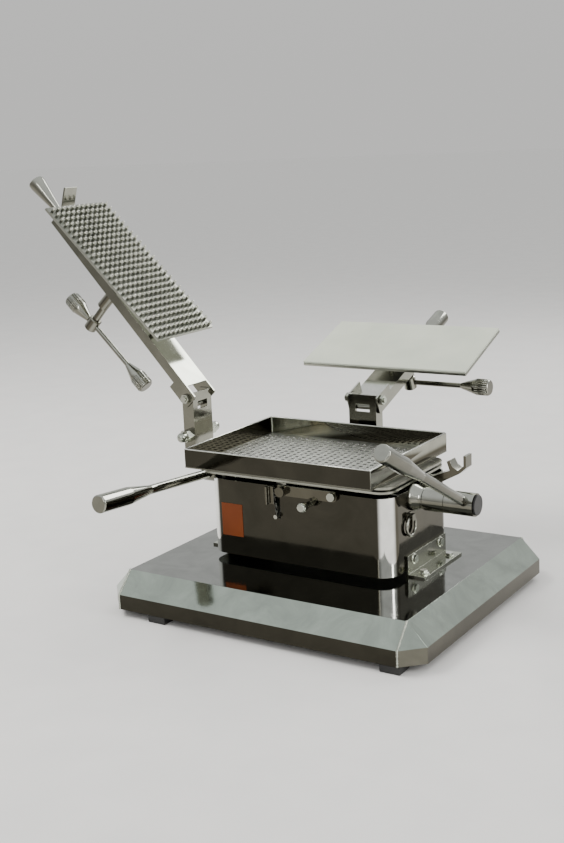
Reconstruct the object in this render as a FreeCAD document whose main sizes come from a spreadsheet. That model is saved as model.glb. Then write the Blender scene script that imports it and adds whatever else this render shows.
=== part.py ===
import FreeCAD, Part
import math
import os
import re
import Sketcher

from FreeCAD import Placement, Rotation, Vector

# Hand-operated capsule filler, millimetres. Working frame of the sheet: X right along the front, Y to
# the back, Z up, zero at the middle of the base on the bench. Every exported piece is then shifted by
# origin_x and origin_y, so that the part's own origin is the bottom centre of its bounding box.
# Both arms are drawn along their own straight axes and placed turned, as they stand when open.

SIZES = [
    ("origin_x", -144.12, "bounding box centre in the working frame, X"),
    ("origin_y", 73.975, "bounding box centre in the working frame, Y"),
    ("pitch", 11, "hole and pin pitch, both ways"),
    ("columns", 25, "holes along X"),
    ("rows", 12, "holes along Y"),
    ("field_x", -20, "hole field centre, X"),
    ("field_y", 17, "hole field centre, Y"),
    ("plinth_half_x", 215, "flat top of the base, half length"),
    ("plinth_half_y", 180.5, "flat top of the base, half width"),
    ("plinth_run", 27.3, "how far the sloped sides run out"),
    ("plinth_top", 59.5, "height of the flat top"),
    ("plinth_knee", 31, "height where the slope meets the skirt"),
    ("plinth_wall", 2, "base sheet thickness"),
    ("foot_rise", 10, "foot height, skirt to bench"),
    ("foot_long", 28, "foot block length"),
    ("foot_wide", 26, "foot block width"),
    ("body_left", -145, "housing left face"),
    ("body_right", 143.4, "housing right face"),
    ("body_front", -82.6, "housing front face"),
    ("body_back", 96.4, "housing back face"),
    ("body_low", 67.7, "housing lower edge"),
    ("body_high", 175.5, "housing upper edge"),
    ("body_round", 25, "housing corner radius"),
    ("body_wall", 2, "housing sheet thickness"),
    ("plate_left", -161, "bed plates, left edge"),
    ("plate_right", 141.4, "bed plates, right edge"),
    ("plate_front", -80, "bed plates, front edge"),
    ("plate_back", 94, "bed plates, back edge"),
    ("plate_round", 20, "bed plates, corner radius"),
    ("lift_low", 176, "lift plate underside at rest"),
    ("lift_thick", 2, "lift plate thickness"),
    ("lift_pin_top", 181.5, "lift pin tips at rest"),
    ("lift_pin_bore", 2, "lift pin radius"),
    ("lower_low", 181, "lower bed plate underside"),
    ("lower_thick", 3, "lower bed plate thickness"),
    ("clamp_low", 184.2, "clamp plate underside"),
    ("clamp_thick", 2.6, "clamp plate thickness"),
    ("top_low", 187, "top bed plate underside"),
    ("top_thick", 3, "top bed plate thickness"),
    ("bed_bore", 3.2, "hole radius in top and lower bed plates"),
    ("clamp_bore", 3.7, "hole radius in the clamp plate"),
    ("pillar_bore", 4.5, "bed pillar radius"),
    ("pillar_left", -105, "left pillars, X"),
    ("pillar_right", 129, "right pillars, X"),
    ("pillar_front", -68, "left front pillar, Y"),
    ("pillar_back", 89.2, "left back pillar, Y"),
    ("screw_bore", 2.5, "bed screw shank radius"),
    ("screw_head", 4, "bed screw head radius"),
    ("tray_left", -171.7, "powder tray, left outer face"),
    ("tray_right", 124.9, "powder tray, right outer face"),
    ("tray_front", -97, "powder tray, front outer face"),
    ("tray_back", 129.2, "powder tray, back outer face"),
    ("tray_low", 190, "powder tray underside"),
    ("tray_floor", 2, "powder tray floor thickness"),
    ("tray_rim", 217, "powder tray rim height"),
    ("tray_wall", 1.6, "powder tray wall thickness"),
    ("tray_bore", 3.3, "powder tray hole radius"),
    ("shaft_y", -15, "cross shaft axis, Y"),
    ("shaft_z", 163, "cross shaft axis, Z"),
    ("shaft_bore", 8, "cross shaft radius"),
    ("fit_gap", 0.06, "radial clearance of a running fit"),
    ("left_flange", 12.5, "left bearing flange radius"),
    ("left_sleeve", 11, "left bearing sleeve radius"),
    ("right_flange", 18, "right bearing flange radius"),
    ("right_sleeve", 14, "right bearing sleeve radius"),
    ("left_plane", -182, "left lever plane, X"),
    ("left_raise", 4.4, "left lever, degrees above level"),
    ("right_plane", 222, "right lever plane, X"),
    ("right_raise", 28, "right lever, degrees above level"),
    ("lever_reach", 260, "lever length from shaft axis to end"),
    ("lever_rod", 6.5, "lever rod radius"),
    ("lever_grip_long", 108, "lever grip length"),
    ("left_grip_bore", 12.5, "left grip radius"),
    ("right_grip_bore", 11, "right grip radius"),
    ("sleeve_bore", 15.5, "right hub sleeve radius"),
    ("sleeve_start", 163, "right hub sleeve, inner end"),
    ("sleeve_end", 234, "right hub sleeve, outer end"),
    ("cap_thick", 3, "hub cap thickness"),
    ("cap_bore", 13.5, "hub cap radius"),
    ("arm_wide", 52, "arm channel width"),
    ("arm_sheet", 2.5, "arm and post sheet thickness"),
    ("post_wide", 46, "post channel width"),
    ("post_deep", 20, "post channel depth"),
    ("arm_start", 13, "arm web starts this far from the hinge axis"),
    ("hinge_bore", 4, "hinge pin radius"),
    ("web_gap", 0.4, "room round screw and guide rods in an arm's web"),
    ("pin_hinge_x", -230, "pin arm hinge axis, X"),
    ("pin_hinge_y", 17.5, "pin arm middle, Y"),
    ("pin_hinge_z", 268, "pin arm hinge axis, Z"),
    ("pin_open", 136.2, "pin plate, degrees up from closed"),
    ("pin_lean", 3.5, "pin arm leans toward its plate by this many degrees"),
    ("pin_arm_end", 356, "pin arm channel length from the hinge"),
    ("pin_web", -14, "pin arm web face, from the hinge axis"),
    ("pin_grip_high", -5, "pin arm grip axis, from the hinge axis"),
    ("pin_flange", 15, "pin arm flange height"),
    ("pin_plate_near", 73, "pin plate near edge from the hinge"),
    ("pin_face", 60, "pin plate working face below the hinge axis"),
    ("pin_plate_thick", 4, "pin plate thickness"),
    ("pin_long", 9, "pressing pin length below the plate"),
    ("pin_bore", 2.2, "pressing pin radius"),
    ("seal_hinge_x", -18, "sealing arm middle, X"),
    ("seal_hinge_y", 153.5, "sealing arm hinge axis, Y"),
    ("seal_hinge_z", 251.5, "sealing arm hinge axis, Z"),
    ("seal_open", 20, "sealing arm, degrees above level"),
    ("seal_arm_end", 215, "sealing arm channel length from the hinge"),
    ("seal_web", 1, "sealing arm web face, from the hinge axis"),
    ("seal_grip_high", 10, "sealing arm grip axis, from the hinge axis"),
    ("seal_flange", 18, "sealing arm flange height"),
    ("seal_near", 69, "sealing plate near edge from the hinge"),
    ("seal_left", -162, "sealing plate left edge"),
    ("seal_right", 117, "sealing plate right edge"),
    ("seal_face", 16, "rubber face above the hinge axis"),
    ("seal_plate_thick", 4, "sealing plate thickness"),
    ("pad_thick", 4, "rubber pad thickness"),
    ("guide_bore", 4, "guide rod radius"),
    ("screw_rod", 6, "press screw radius"),
    ("boss_bore", 9, "press screw boss radius"),
    ("pin_boss_long", 50, "pin arm boss height"),
    ("seal_boss_long", 24, "sealing arm boss height"),
    ("head_bore", 10, "press screw head radius"),
    ("head_long", 22, "press screw head height"),
    ("pin_head_gap", 25, "pin arm screw head above its boss"),
    ("seal_head_gap", 13, "sealing arm screw head above its boss"),
    ("tommy_rod", 4, "tommy bar radius"),
    ("tommy_short", 58, "tommy bar, short side with grip"),
    ("tommy_long", 137, "tommy bar, long side with grip"),
    ("tommy_grip_long", 48, "tommy grip length"),
    ("tommy_grip_bore", 12, "tommy grip radius"),
    ("end_grip_long", 64, "arm end grip length"),
    ("end_grip_bore", 13, "arm end grip radius"),
    ("tongue_wide", 28, "tongue width"),
    ("hook_x", 152, "catch hook pivot, X"),
    ("hook_z", 178, "catch hook pivot, Z"),
    ("bracket_front", -40, "base brackets, front end"),
    ("bracket_back", 75, "base brackets, back end"),
    ("bracket_out", 27, "base bracket flange width"),
    ("bracket_high", 88, "base bracket top"),
    ("bracket_sheet", 3, "base bracket thickness"),
    ("latch_x", 60, "front latch pivot, X"),
    ("latch_z", 172, "front latch pivot, Z"),
    ("ring_y", -29, "pull ring middle, Y"),
    ("ring_z", 127, "pull ring middle, Z"),
    ("ring_bore", 12.5, "pull ring, centre of the wire"),
    ("ring_wire", 2, "pull ring wire radius"),
]

DOC = FreeCAD.newDocument("capsule_filler")
SHEET = DOC.addObject("Spreadsheet::Sheet", "Sizes")
X_AXIS = Vector(1, 0, 0)
Y_AXIS = Vector(0, 1, 0)
Z_AXIS = Vector(0, 0, 1)
TURN = {"x": Rotation(Y_AXIS, 90), "y": Rotation(X_AXIS, -90), "z": Rotation()}
PARTS = []


def fill_sheet():
    """Write the driving sizes: meaning, value and alias on each row."""
    for row, (alias, value, meaning) in enumerate(SIZES, start=1):
        SHEET.set(f"A{row}", meaning)
        SHEET.set(f"B{row}", str(value))
        SHEET.setAlias(f"B{row}", alias)
    DOC.recompute()


def size(alias):
    """The value of one driving size, read from the sheet."""
    return float(getattr(SHEET, alias))


def bound(text):
    """A formula written with alias words, as an expression on the sheet."""
    return re.sub(r"[a-z][a-z_]*", lambda word: "Sizes." + word.group(0), text)


def bind(item, prop, text):
    """Bind one property of an object to a formula of sheet aliases."""
    item.setExpression(prop, bound(text))


def bind_base(item, place):
    """Bind the position of a primitive to three formulas."""
    for axis, text in zip("xyz", place):
        bind(item, f"Placement.Base.{axis}", text)


# ---- PartDesign bodies -------------------------------------------------------------------------

def new_body(label):
    """A PartDesign body with its own label."""
    body = DOC.addObject("PartDesign::Body", label)
    body.Label = label
    return body


def block(body, place, sides, cut=False):
    """Add, or cut, a box: place is its low corner, sides its X, Y and Z lengths."""
    kind = "PartDesign::SubtractiveBox" if cut else "PartDesign::AdditiveBox"
    item = body.newObject(kind, "Block")
    for prop, text in zip(("Length", "Width", "Height"), sides):
        bind(item, prop, text)
    bind_base(item, place)
    return item


def rod(body, place, radius, length, axis="z", cut=False):
    """Add, or cut, a cylinder that starts at place and runs along a positive axis."""
    kind = "PartDesign::SubtractiveCylinder" if cut else "PartDesign::AdditiveCylinder"
    item = body.newObject(kind, "Rod")
    item.Placement = Placement(Vector(), TURN[axis])
    bind(item, "Radius", radius)
    bind(item, "Height", length)
    bind_base(item, place)
    return item


def sketch_on(body, role, offset="0"):
    """An empty sketch on one of the body's origin planes, moved along the plane's normal."""
    plane = next(item for item in body.Origin.OriginFeatures if item.Role == role)
    sketch = body.newObject("Sketcher::SketchObject", "Sketch")
    sketch.AttachmentSupport = [(plane, "")]
    sketch.MapMode = "FlatFace"
    bind(sketch, "AttachmentOffset.Base.z", offset)
    return sketch


def outline(sketch, corners):
    """A closed outline whose every corner is dimensioned from the origin by a formula pair."""
    count = len(corners)
    rough = [Vector(math.cos(2 * math.pi * k / count), math.sin(2 * math.pi * k / count), 0) * 20
             for k in range(count)]
    for k in range(count):
        sketch.addGeometry(Part.LineSegment(rough[k], rough[(k + 1) % count]), False)
    for k in range(count):
        sketch.addConstraint(Sketcher.Constraint("Coincident", k, 2, (k + 1) % count, 1))
    for k, pair in enumerate(corners):
        for kind, text in zip(("DistanceX", "DistanceY"), pair):
            start = rough[k].x if kind == "DistanceX" else rough[k].y
            number = sketch.addConstraint(Sketcher.Constraint(kind, -1, 1, k, 1, start))
            sketch.setExpression(f"Constraints[{number}]", bound(text))
    return sketch


def pad(body, sketch, length, backwards=False):
    """Pad a sketch by a bound length."""
    item = body.newObject("PartDesign::Pad", "Pad")
    item.Profile = sketch
    item.Reversed = backwards
    bind(item, "Length", length)
    return item


def revolve(body, sketch):
    """Turn a sketch a full turn about its own horizontal axis."""
    item = body.newObject("PartDesign::Revolution", "Revolution")
    item.Profile = sketch
    item.ReferenceAxis = (sketch, ["H_Axis"])
    item.Angle = 360
    return item


def round_edges(body, radius, wanted):
    """Fillet the edges of the body's tip that the test picks out."""
    DOC.recompute()
    base = body.Tip
    names = [f"Edge{n}" for n, edge in enumerate(base.Shape.Edges, start=1) if wanted(edge)]
    item = body.newObject("PartDesign::Fillet", "Fillet")
    item.Base = (base, names)
    bind(item, "Radius", radius)
    return item


def upright(edge):
    """True for a straight edge parallel to Z."""
    ends = [vertex.Point for vertex in edge.Vertexes]
    return len(ends) == 2 and abs(ends[0].x - ends[1].x) + abs(ends[0].y - ends[1].y) < 1e-6


# ---- Plain shapes for groups and perforated sheets ---------------------------------------------

def bar(start, radius, length, direction):
    """A cylinder from start along a direction."""
    return Part.makeCylinder(radius, length, start, direction)


def feature(label, shape):
    """A Part::Feature holding a shape worked out from the sheet."""
    item = DOC.addObject("Part::Feature", label)
    item.Label = label
    item.Shape = shape
    return item


def boolean(kind, label, base, tool):
    """A Part::Cut, Part::Fuse or Part::Common of two objects of the document."""
    item = DOC.addObject(kind, label)
    item.Label = label
    item.Base = base
    item.Tool = tool
    return item


def keep(item, place=None):
    """Mark an object as an exported piece, placed in its own frame and then shifted to the origin."""
    PARTS.append((item, place or Placement()))
    return item


def rounded_wire(low_x, low_y, high_x, high_y, radius, height):
    """A rectangle with round corners, as a wire at a height."""
    face = Part.makeBox(high_x - low_x, high_y - low_y, 1, Vector(low_x, low_y, height))
    solid = face.makeFillet(radius, [edge for edge in face.Edges if upright(edge)])
    bottom = min(solid.Faces, key=lambda item: item.CenterOfMass.z)
    return bottom.OuterWire


def field_sites():
    """Centres of the hole field, column by column."""
    step = size("pitch")
    across = int(size("columns"))
    deep = int(size("rows"))
    return [(size("field_x") + step * (i - (across - 1) / 2), size("field_y") + step * (j - (deep - 1) / 2))
            for i in range(across) for j in range(deep)]


def perforated(wire, sites, radius, height, thick):
    """A sheet with an outline and round holes, made in one extrusion."""
    holes = [Part.Wire(Part.makeCircle(radius, Vector(x, y, height), Z_AXIS)) for x, y in sites]
    face = Part.makeFace([wire] + holes, "Part::FaceMakerBullseye")
    return face.extrude(Vector(0, 0, thick))


# ---- Fasteners ---------------------------------------------------------------------------------

def bolt_sites():
    """Where each frame bolt's head bears, and which way the head points."""
    left, right = size("body_left"), size("body_right")
    sheet = size("bracket_sheet")
    sites = []
    for y in (size("bracket_front") + 18, size("bracket_back") - 18):
        sites.append((Vector(right + sheet, y, 80), X_AXIS))
        sites.append((Vector(left - sheet, y, 80), -X_AXIS))
        flange = size("bracket_out") * 0.62
        sites.append((Vector(right + flange, y, size("plinth_top") + sheet), Z_AXIS))
        sites.append((Vector(left - flange, y, size("plinth_top") + sheet), Z_AXIS))
    for y in (14, 32):
        sites.append((Vector(left - sheet, y, 146), -X_AXIS))
        sites.append((Vector(size("pin_hinge_x") + 10 + sheet, y - 5, 182), X_AXIS))
    for x in (-30, -6):
        sites.append((Vector(x, size("body_back") + sheet, 146), Y_AXIS))
        sites.append((Vector(x, size("seal_hinge_y") - 10 - sheet, 182), -Y_AXIS))
    return sites


def hexagon_head(place, direction, across, high):
    """A six-sided bolt head or nut standing on its bearing face."""
    radius = across / math.sqrt(3)
    points = [Vector(radius * math.cos(math.radians(60 * k)), radius * math.sin(math.radians(60 * k)), 0)
              for k in range(7)]
    head = Part.Face(Part.makePolygon(points)).extrude(Vector(0, 0, high))
    head.Placement = Placement(place, Rotation(Z_AXIS, direction))
    return head


def frame_fasteners():
    """The hex bolts of brackets and posts, and the shank shapes that drill their holes."""
    shank, long, across, high = 3, 7, 10, 4
    shanks = [bar(place, shank, long, -way) for place, way in bolt_sites()]
    bolts = [hexagon_head(place, way, across, high).fuse(stem).removeSplitter()
             for (place, way), stem in zip(bolt_sites(), shanks)]
    keep(feature("frame_bolts", Part.makeCompound(bolts)))
    return feature("bolt_holes", Part.makeCompound(shanks))


# ---- Base and housing --------------------------------------------------------------------------

def plinth_solid(inset, floor):
    """The base's outer or inner solid: flat top, sloped sides, cut corners and upright skirt."""
    run = size("plinth_run")
    half_x = size("plinth_half_x") - inset
    half_y = size("plinth_half_y") - inset
    top, knee = size("plinth_top") - inset, size("plinth_knee") - inset
    corners = [(1, 1), (-1, 1), (-1, -1), (1, -1)]
    upper = [Vector(i * half_x, j * half_y, top) for i, j in corners]
    ring = []
    for i, j in corners:
        side = [(i * (half_x + run), j * half_y), (i * half_x, j * (half_y + run))]
        ring += side if i * j > 0 else side[::-1]
    middle = [Vector(x, y, knee) for x, y in ring]
    lower = [Vector(x, y, floor) for x, y in ring]
    loops = [upper, lower]
    for k in range(4):
        after = (k + 1) % 4
        loops.append([upper[k], middle[2 * k], middle[2 * k + 1]])
        loops.append([upper[k], middle[2 * k + 1], middle[2 * after], upper[after]])
    for k in range(8):
        after = (k + 1) % 8
        loops.append([middle[k], lower[k], lower[after], middle[after]])
    faces = [Part.Face(Part.makePolygon(loop + loop[:1])) for loop in loops]
    shell = Part.makeShell(faces)
    shell.sewShape()
    solid = Part.makeSolid(shell)
    if solid.Volume < 0:
        solid.reverse()
    return solid


def build_base(holes):
    """Plinth, feet and the two angle brackets that carry the housing."""
    rise = size("foot_rise")
    outer = feature("plinth_outer", plinth_solid(0, rise))
    inner = feature("plinth_inner", plinth_solid(size("plinth_wall"), rise - 5))
    shell = boolean("Part::Cut", "plinth_shell", outer, inner)
    keep(boolean("Part::Cut", "base_plinth", shell, holes))

    reach_x, reach_y = size("plinth_half_x"), size("plinth_half_y")
    front_row, back_row, back_inset = -195, reach_y - 4, 15
    sites = [(-152, front_row), (reach_x - 11, front_row),
             (back_inset - reach_x, back_row), (reach_x - back_inset, back_row)]
    long, wide = size("foot_long"), size("foot_wide")
    corners = [Vector(x - long / 2, y - wide / 2, 0) for x, y in sites]
    feet = [Part.makeBox(long, wide, rise, corner) for corner in corners]
    overlap, strap_thick = 8, 4
    straps = [Part.makeBox(long, wide + overlap, strap_thick,
                           corner + Vector(0, -overlap if corner.y < 0 else 0, rise)) for corner in corners]
    trimmed = [strap.common(plinth_solid(size("plinth_wall"), rise)) for strap in straps]
    keep(feature("base_feet", Part.makeCompound([foot.fuse(strap).removeSplitter()
                                                 for foot, strap in zip(feet, trimmed)])))

    for label, face, flange_at in (("right_bracket", "body_right", "body_right"),
                                   ("left_bracket", "body_left - bracket_sheet", "body_left - bracket_out")):
        body = new_body(label + "_blank")
        length = "bracket_back - bracket_front"
        block(body, (face, "bracket_front", "plinth_top"),
              ("bracket_sheet", length, "bracket_high - plinth_top"))
        block(body, (flange_at, "bracket_front", "plinth_top"), ("bracket_out", length, "bracket_sheet"))
        keep(boolean("Part::Cut", label, body, holes))


def build_housing(holes):
    """The box with round corners, its floor, and the pillars that carry the bed."""
    body = new_body("housing_blank")
    block(body, ("body_left", "body_front", "body_low"),
          ("body_right - body_left", "body_back - body_front", "body_high - body_low"))
    round_edges(body, "body_round", upright)
    hollow = new_body("housing_hollow")
    block(hollow, ("body_left + body_wall", "body_front + body_wall", "body_low - 1"),
          ("body_right - body_left - 2 * body_wall", "body_back - body_front - 2 * body_wall",
           "body_high - body_low + 2"))
    round_edges(hollow, "body_round - body_wall", upright)
    shell = boolean("Part::Cut", "housing_shell", body, hollow)
    windows = new_body("housing_windows")
    rod(windows, ("body_left - 5", "shaft_y", "shaft_z"), "left_sleeve", "12", "x")
    rod(windows, ("body_right - 7", "shaft_y", "shaft_z"), "right_sleeve", "12", "x")
    block(windows, ("-32", "body_front - 5", "130"), ("8", "10", "body_high - 130 + 5"))
    rod(windows, ("latch_x", "body_front - 5", "latch_z"), "3", "12", "y")
    rod(windows, ("23", "body_front - 5", "157"), "4 + fit_gap", "12", "y")
    rod(windows, ("body_right - 6", "17", "hook_z - 12"), "3", "12", "x")
    DOC.recompute()
    opened = boolean("Part::Cut", "housing_open", shell, windows)
    keep(boolean("Part::Cut", "housing", opened, holes))

    floor = new_body("housing_floor")
    block(floor, ("body_left + body_wall", "body_front + body_wall", "body_low"),
          ("body_right - body_left - 2 * body_wall", "body_back - body_front - 2 * body_wall", "body_wall"))
    round_edges(floor, "body_round - body_wall", upright)
    keep(floor)


def pillar_sites():
    """Centres of the four pillars under the bed; the right pair stands beside the tray."""
    left, right, front, back = (size(f"pillar_{side}") for side in ("left", "right", "front", "back"))
    return [(left, front), (left, back), (right, front + 8), (right, back - 15)]


def build_bed():
    """Pillars, fixed bed plates with their spacers, and the screws through them."""
    top = size("top_low") + size("top_thick")
    start = size("body_low") + size("body_wall")
    radius = size("pillar_bore")
    low = size("lower_low")
    head_high, thread_long = 3, 8
    sink = top - head_high
    spacer_low = low + size("lower_thick")
    screws = []
    columns = []
    for x, y in pillar_sites():
        shank = bar(Vector(x, y, low - thread_long), size("screw_bore"), sink - low + thread_long, Z_AXIS)
        head = Part.makeCone(size("screw_bore"), size("screw_head"), head_high, Vector(x, y, sink), Z_AXIS)
        screws.append(shank.fuse(head).removeSplitter())
        for foot, reach in ((start, low), (spacer_low, size("top_low"))):
            columns.append(bar(Vector(x, y, foot), radius, reach - foot, Z_AXIS).cut(shank))
    keep(feature("bed_pillars", Part.makeCompound(columns)))
    group = Part.makeCompound(screws)
    keep(feature("bed_screws", group))

    edge = [size(f"plate_{side}") for side in ("left", "front", "right", "back", "round")]
    sites = field_sites()
    slot = Part.makeBox(12, 22, 20, Vector(-131, -77, size("lower_low") - 5))
    lower = perforated(rounded_wire(*edge, size("lower_low")), sites, size("bed_bore"),
                       size("lower_low"), size("lower_thick"))
    keep(feature("lower_bed_plate", lower.cut(group).cut(slot)))
    upper = perforated(rounded_wire(*edge, size("top_low")), sites, size("bed_bore"),
                       size("top_low"), size("top_thick"))
    keep(feature("top_bed_plate", upper.cut(group)))


def build_clamp():
    """The sliding clamp plate with the yoke that the left eccentric pushes."""
    low, thick = size("clamp_low"), size("clamp_thick")
    wire = rounded_wire(size("plate_left") + 3, -58, 118, 83.2, 3, low)
    sheet = perforated(wire, field_sites(), size("clamp_bore"), low, thick)
    tab = Part.makeBox(9, 20, thick, Vector(-129, -74, low))
    middle, under = size("shaft_y"), 172.4
    upright_leg = Part.makeBox(6, 6, low - under + 1, Vector(-128, -70, under))
    beam = Part.makeBox(6, middle + 14 + 70, 2.6, Vector(-128, -70, under))
    fork = [Part.makeBox(6, 4, 20, Vector(-128, y, 155)) for y in (middle - 13.6, middle + 9.6)]
    yoke = upright_leg.fuse([beam] + fork)
    keep(feature("clamp_plate", sheet.fuse([tab, yoke]).removeSplitter()))


def build_lift():
    """The lift plate with its tappet and slot pin, and the lift pins standing on it."""
    low, thick = size("lift_low"), size("lift_thick")
    wire = rounded_wire(size("plate_left") + 3, -48, 118, 81, 3, low)
    sheet = perforated(wire, [], 1, low, thick)
    tappet = Part.makeBox(12, 20, 4, Vector(96, size("shaft_y") - 10, low - 4))
    tab = Part.makeBox(16, 26, thick, Vector(-36, -72, low))
    drop = bar(Vector(-28, -64, 128), 4, low - 128, Z_AXIS)
    pin = bar(Vector(-28, -90, 134), 3, 26, Y_AXIS)
    keep(feature("lift_plate", sheet.fuse([tappet, tab, drop, pin]).removeSplitter()))
    length = size("lift_pin_top") - low - thick
    pins = [bar(Vector(x, y, low + thick), size("lift_pin_bore"), length, Z_AXIS) for x, y in field_sites()]
    keep(feature("lift_pins", Part.makeCompound(pins)))


def build_tray():
    """The powder tray: a perforated floor sheet and four walls welded on it."""
    left, right, front, back = (size(f"tray_{side}") for side in ("left", "right", "front", "back"))
    low, floor, rim, wall = (size(f"tray_{name}") for name in ("low", "floor", "rim", "wall"))
    step, margin = size("pitch"), 8
    first_x, first_y = size("field_x"), size("field_y") + step / 2
    across = [x for x in (first_x + step * k for k in range(-20, 21)) if left + margin < x < right - margin]
    deep = [y for y in (first_y + step * k for k in range(-20, 21)) if front + margin < y < back - margin]
    wire = Part.makePolygon([Vector(left, front, low), Vector(right, front, low), Vector(right, back, low),
                             Vector(left, back, low), Vector(left, front, low)])
    sites = [(x, y) for x in across for y in deep]
    keep(feature("powder_tray_floor", perforated(wire, sites, size("tray_bore"), low, floor)))
    base = low + floor
    high = rim - base
    walls = [Part.makeBox(right - left, wall, high, Vector(left, front, base)),
             Part.makeBox(right - left, wall, high, Vector(left, back - wall, base)),
             Part.makeBox(wall, back - front - 2 * wall, high, Vector(left, front + wall, base)),
             Part.makeBox(wall, back - front - 2 * wall, high, Vector(right - wall, front + wall, base))]
    keep(feature("powder_tray_walls", Part.makeCompound(walls)))


# ---- Posts and their hinges --------------------------------------------------------------------

def build_posts(holes):
    """Both channel posts, their brackets, hinge pins, stop rollers and the cross bolt."""
    post_low, top = 164, "8"
    half, channel = "post_wide / 2", "post_wide - 2 * arm_sheet"
    body = new_body("left_post_blank")
    block(body, ("pin_hinge_x - post_deep / 2", f"pin_hinge_y - {half}", str(post_low)),
          ("post_deep", "post_wide", f"pin_hinge_z + {top} - {post_low}"))
    block(body, ("pin_hinge_x - post_deep / 2 - 1", f"pin_hinge_y - {half} + arm_sheet", str(post_low - 1)),
          ("post_deep - arm_sheet + 1", channel, f"pin_hinge_z - {post_low} + 12"), cut=True)
    block(body, ("pin_hinge_x", "pin_hinge_y - 12", "pin_hinge_z - 18"), ("20", "24", "12"), cut=True)
    rod(body, ("pin_hinge_x", "pin_hinge_y - 40", "pin_hinge_z"), "hinge_bore", "80", "y", cut=True)
    rod(body, ("pin_hinge_x", "pin_hinge_y - 40", "212"), "hinge_bore", "80", "y", cut=True)
    keep(boolean("Part::Cut", "left_post", body, holes))

    body = new_body("back_post_blank")
    block(body, (f"seal_hinge_x - {half}", "seal_hinge_y - post_deep / 2", str(post_low)),
          ("post_wide", "post_deep", f"seal_hinge_z + {top} - {post_low}"))
    block(body, (f"seal_hinge_x - {half} + arm_sheet", "seal_hinge_y - post_deep / 2 + arm_sheet",
                 str(post_low - 1)),
          (channel, "post_deep - arm_sheet + 1", f"seal_hinge_z - {post_low} + 12"), cut=True)
    block(body, ("seal_hinge_x - 12", "seal_hinge_y - 20", "seal_hinge_z - 18"), ("24", "20", "12"),
          cut=True)
    rod(body, ("seal_hinge_x - 40", "seal_hinge_y", "seal_hinge_z"), "hinge_bore", "80", "x", cut=True)
    keep(boolean("Part::Cut", "back_post", body, holes))

    sheet = "bracket_sheet"
    body = new_body("left_post_bracket_blank")
    block(body, (f"body_left - {sheet}", "4", "134"), (sheet, "37", "37"))
    block(body, ("pin_hinge_x + post_deep / 2", "4", "168"),
          ("body_left - pin_hinge_x - post_deep / 2", "37", sheet))
    block(body, ("pin_hinge_x + post_deep / 2", "4", "168"), (sheet, "31", "20"))
    keep(boolean("Part::Cut", "left_post_bracket", body, holes))
    body = new_body("back_post_bracket_blank")
    block(body, ("-36", "body_back", "134"), ("36", sheet, "37"))
    block(body, ("-36", "body_back", "168"), ("36", "seal_hinge_y - post_deep / 2 - body_back", sheet))
    block(body, ("-36", f"seal_hinge_y - post_deep / 2 - {sheet}", "168"), ("36", sheet, "20"))
    keep(boolean("Part::Cut", "back_post_bracket", body, holes))

    half_arm = size("arm_wide") / 2
    pin_hinge, seal_hinge = (Vector(*(size(f"{arm}_hinge_{axis}") for axis in "xyz"))
                             for arm in ("pin", "seal"))
    for label, centre, way in (("left_hinge_pin", pin_hinge, Y_AXIS),
                               ("back_hinge_pin", seal_hinge, X_AXIS)):
        reach = half_arm + 8
        pin = bar(centre - way * reach, size("hinge_bore"), 2 * reach, way)
        nuts = [hexagon_head(centre + way * side * (half_arm + 0.5), way * side, 13, 5).cut(pin)
                for side in (1, -1)]
        keep(feature(label, Part.makeCompound([pin] + nuts)))
    inside = size("post_wide") - 2 * size("arm_sheet")
    rollers = [bar(pin_hinge + Vector(2, -inside / 2, -12), 4, inside, Y_AXIS),
               bar(seal_hinge + Vector(-inside / 2, -2, -12), 4, inside, X_AXIS)]
    keep(feature("stop_rollers", Part.makeCompound(rollers)))

    cross = Vector(size("pin_hinge_x"), size("pin_hinge_y"), 212)
    half_post = size("post_wide") / 2
    stem = bar(cross - Y_AXIS * (half_post + 22), size("hinge_bore"), 2 * (half_post + 22), Y_AXIS)
    solids = [stem]
    for side in (1, -1):
        foot = cross + Y_AXIS * side * half_post
        nut = hexagon_head(foot, Y_AXIS * side, 17, 14)
        dome = Part.makeSphere(7.5, foot + Y_AXIS * side * 19)
        neck = bar(foot + Y_AXIS * side * 14, 7.5, 5, Y_AXIS * side)
        solids.append(nut.fuse([neck, dome]).removeSplitter().cut(stem))
    keep(feature("left_cross_bolt", Part.makeCompound(solids)))


# ---- Arms --------------------------------------------------------------------------------------

def pin_place():
    """Placement of the pin arm's frame: X along the arm, Z up when closed."""
    centre = Vector(size("pin_hinge_x"), size("pin_hinge_y"), size("pin_hinge_z"))
    return Placement(centre, Rotation(Y_AXIS, -size("pin_open")))


def seal_place():
    """Placement of the sealing arm's frame: X across, Y along the arm, Z out of the rubber face."""
    centre = Vector(size("seal_hinge_x"), size("seal_hinge_y"), size("seal_hinge_z"))
    return Placement(centre, Rotation(X_AXIS, size("seal_open")))


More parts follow.
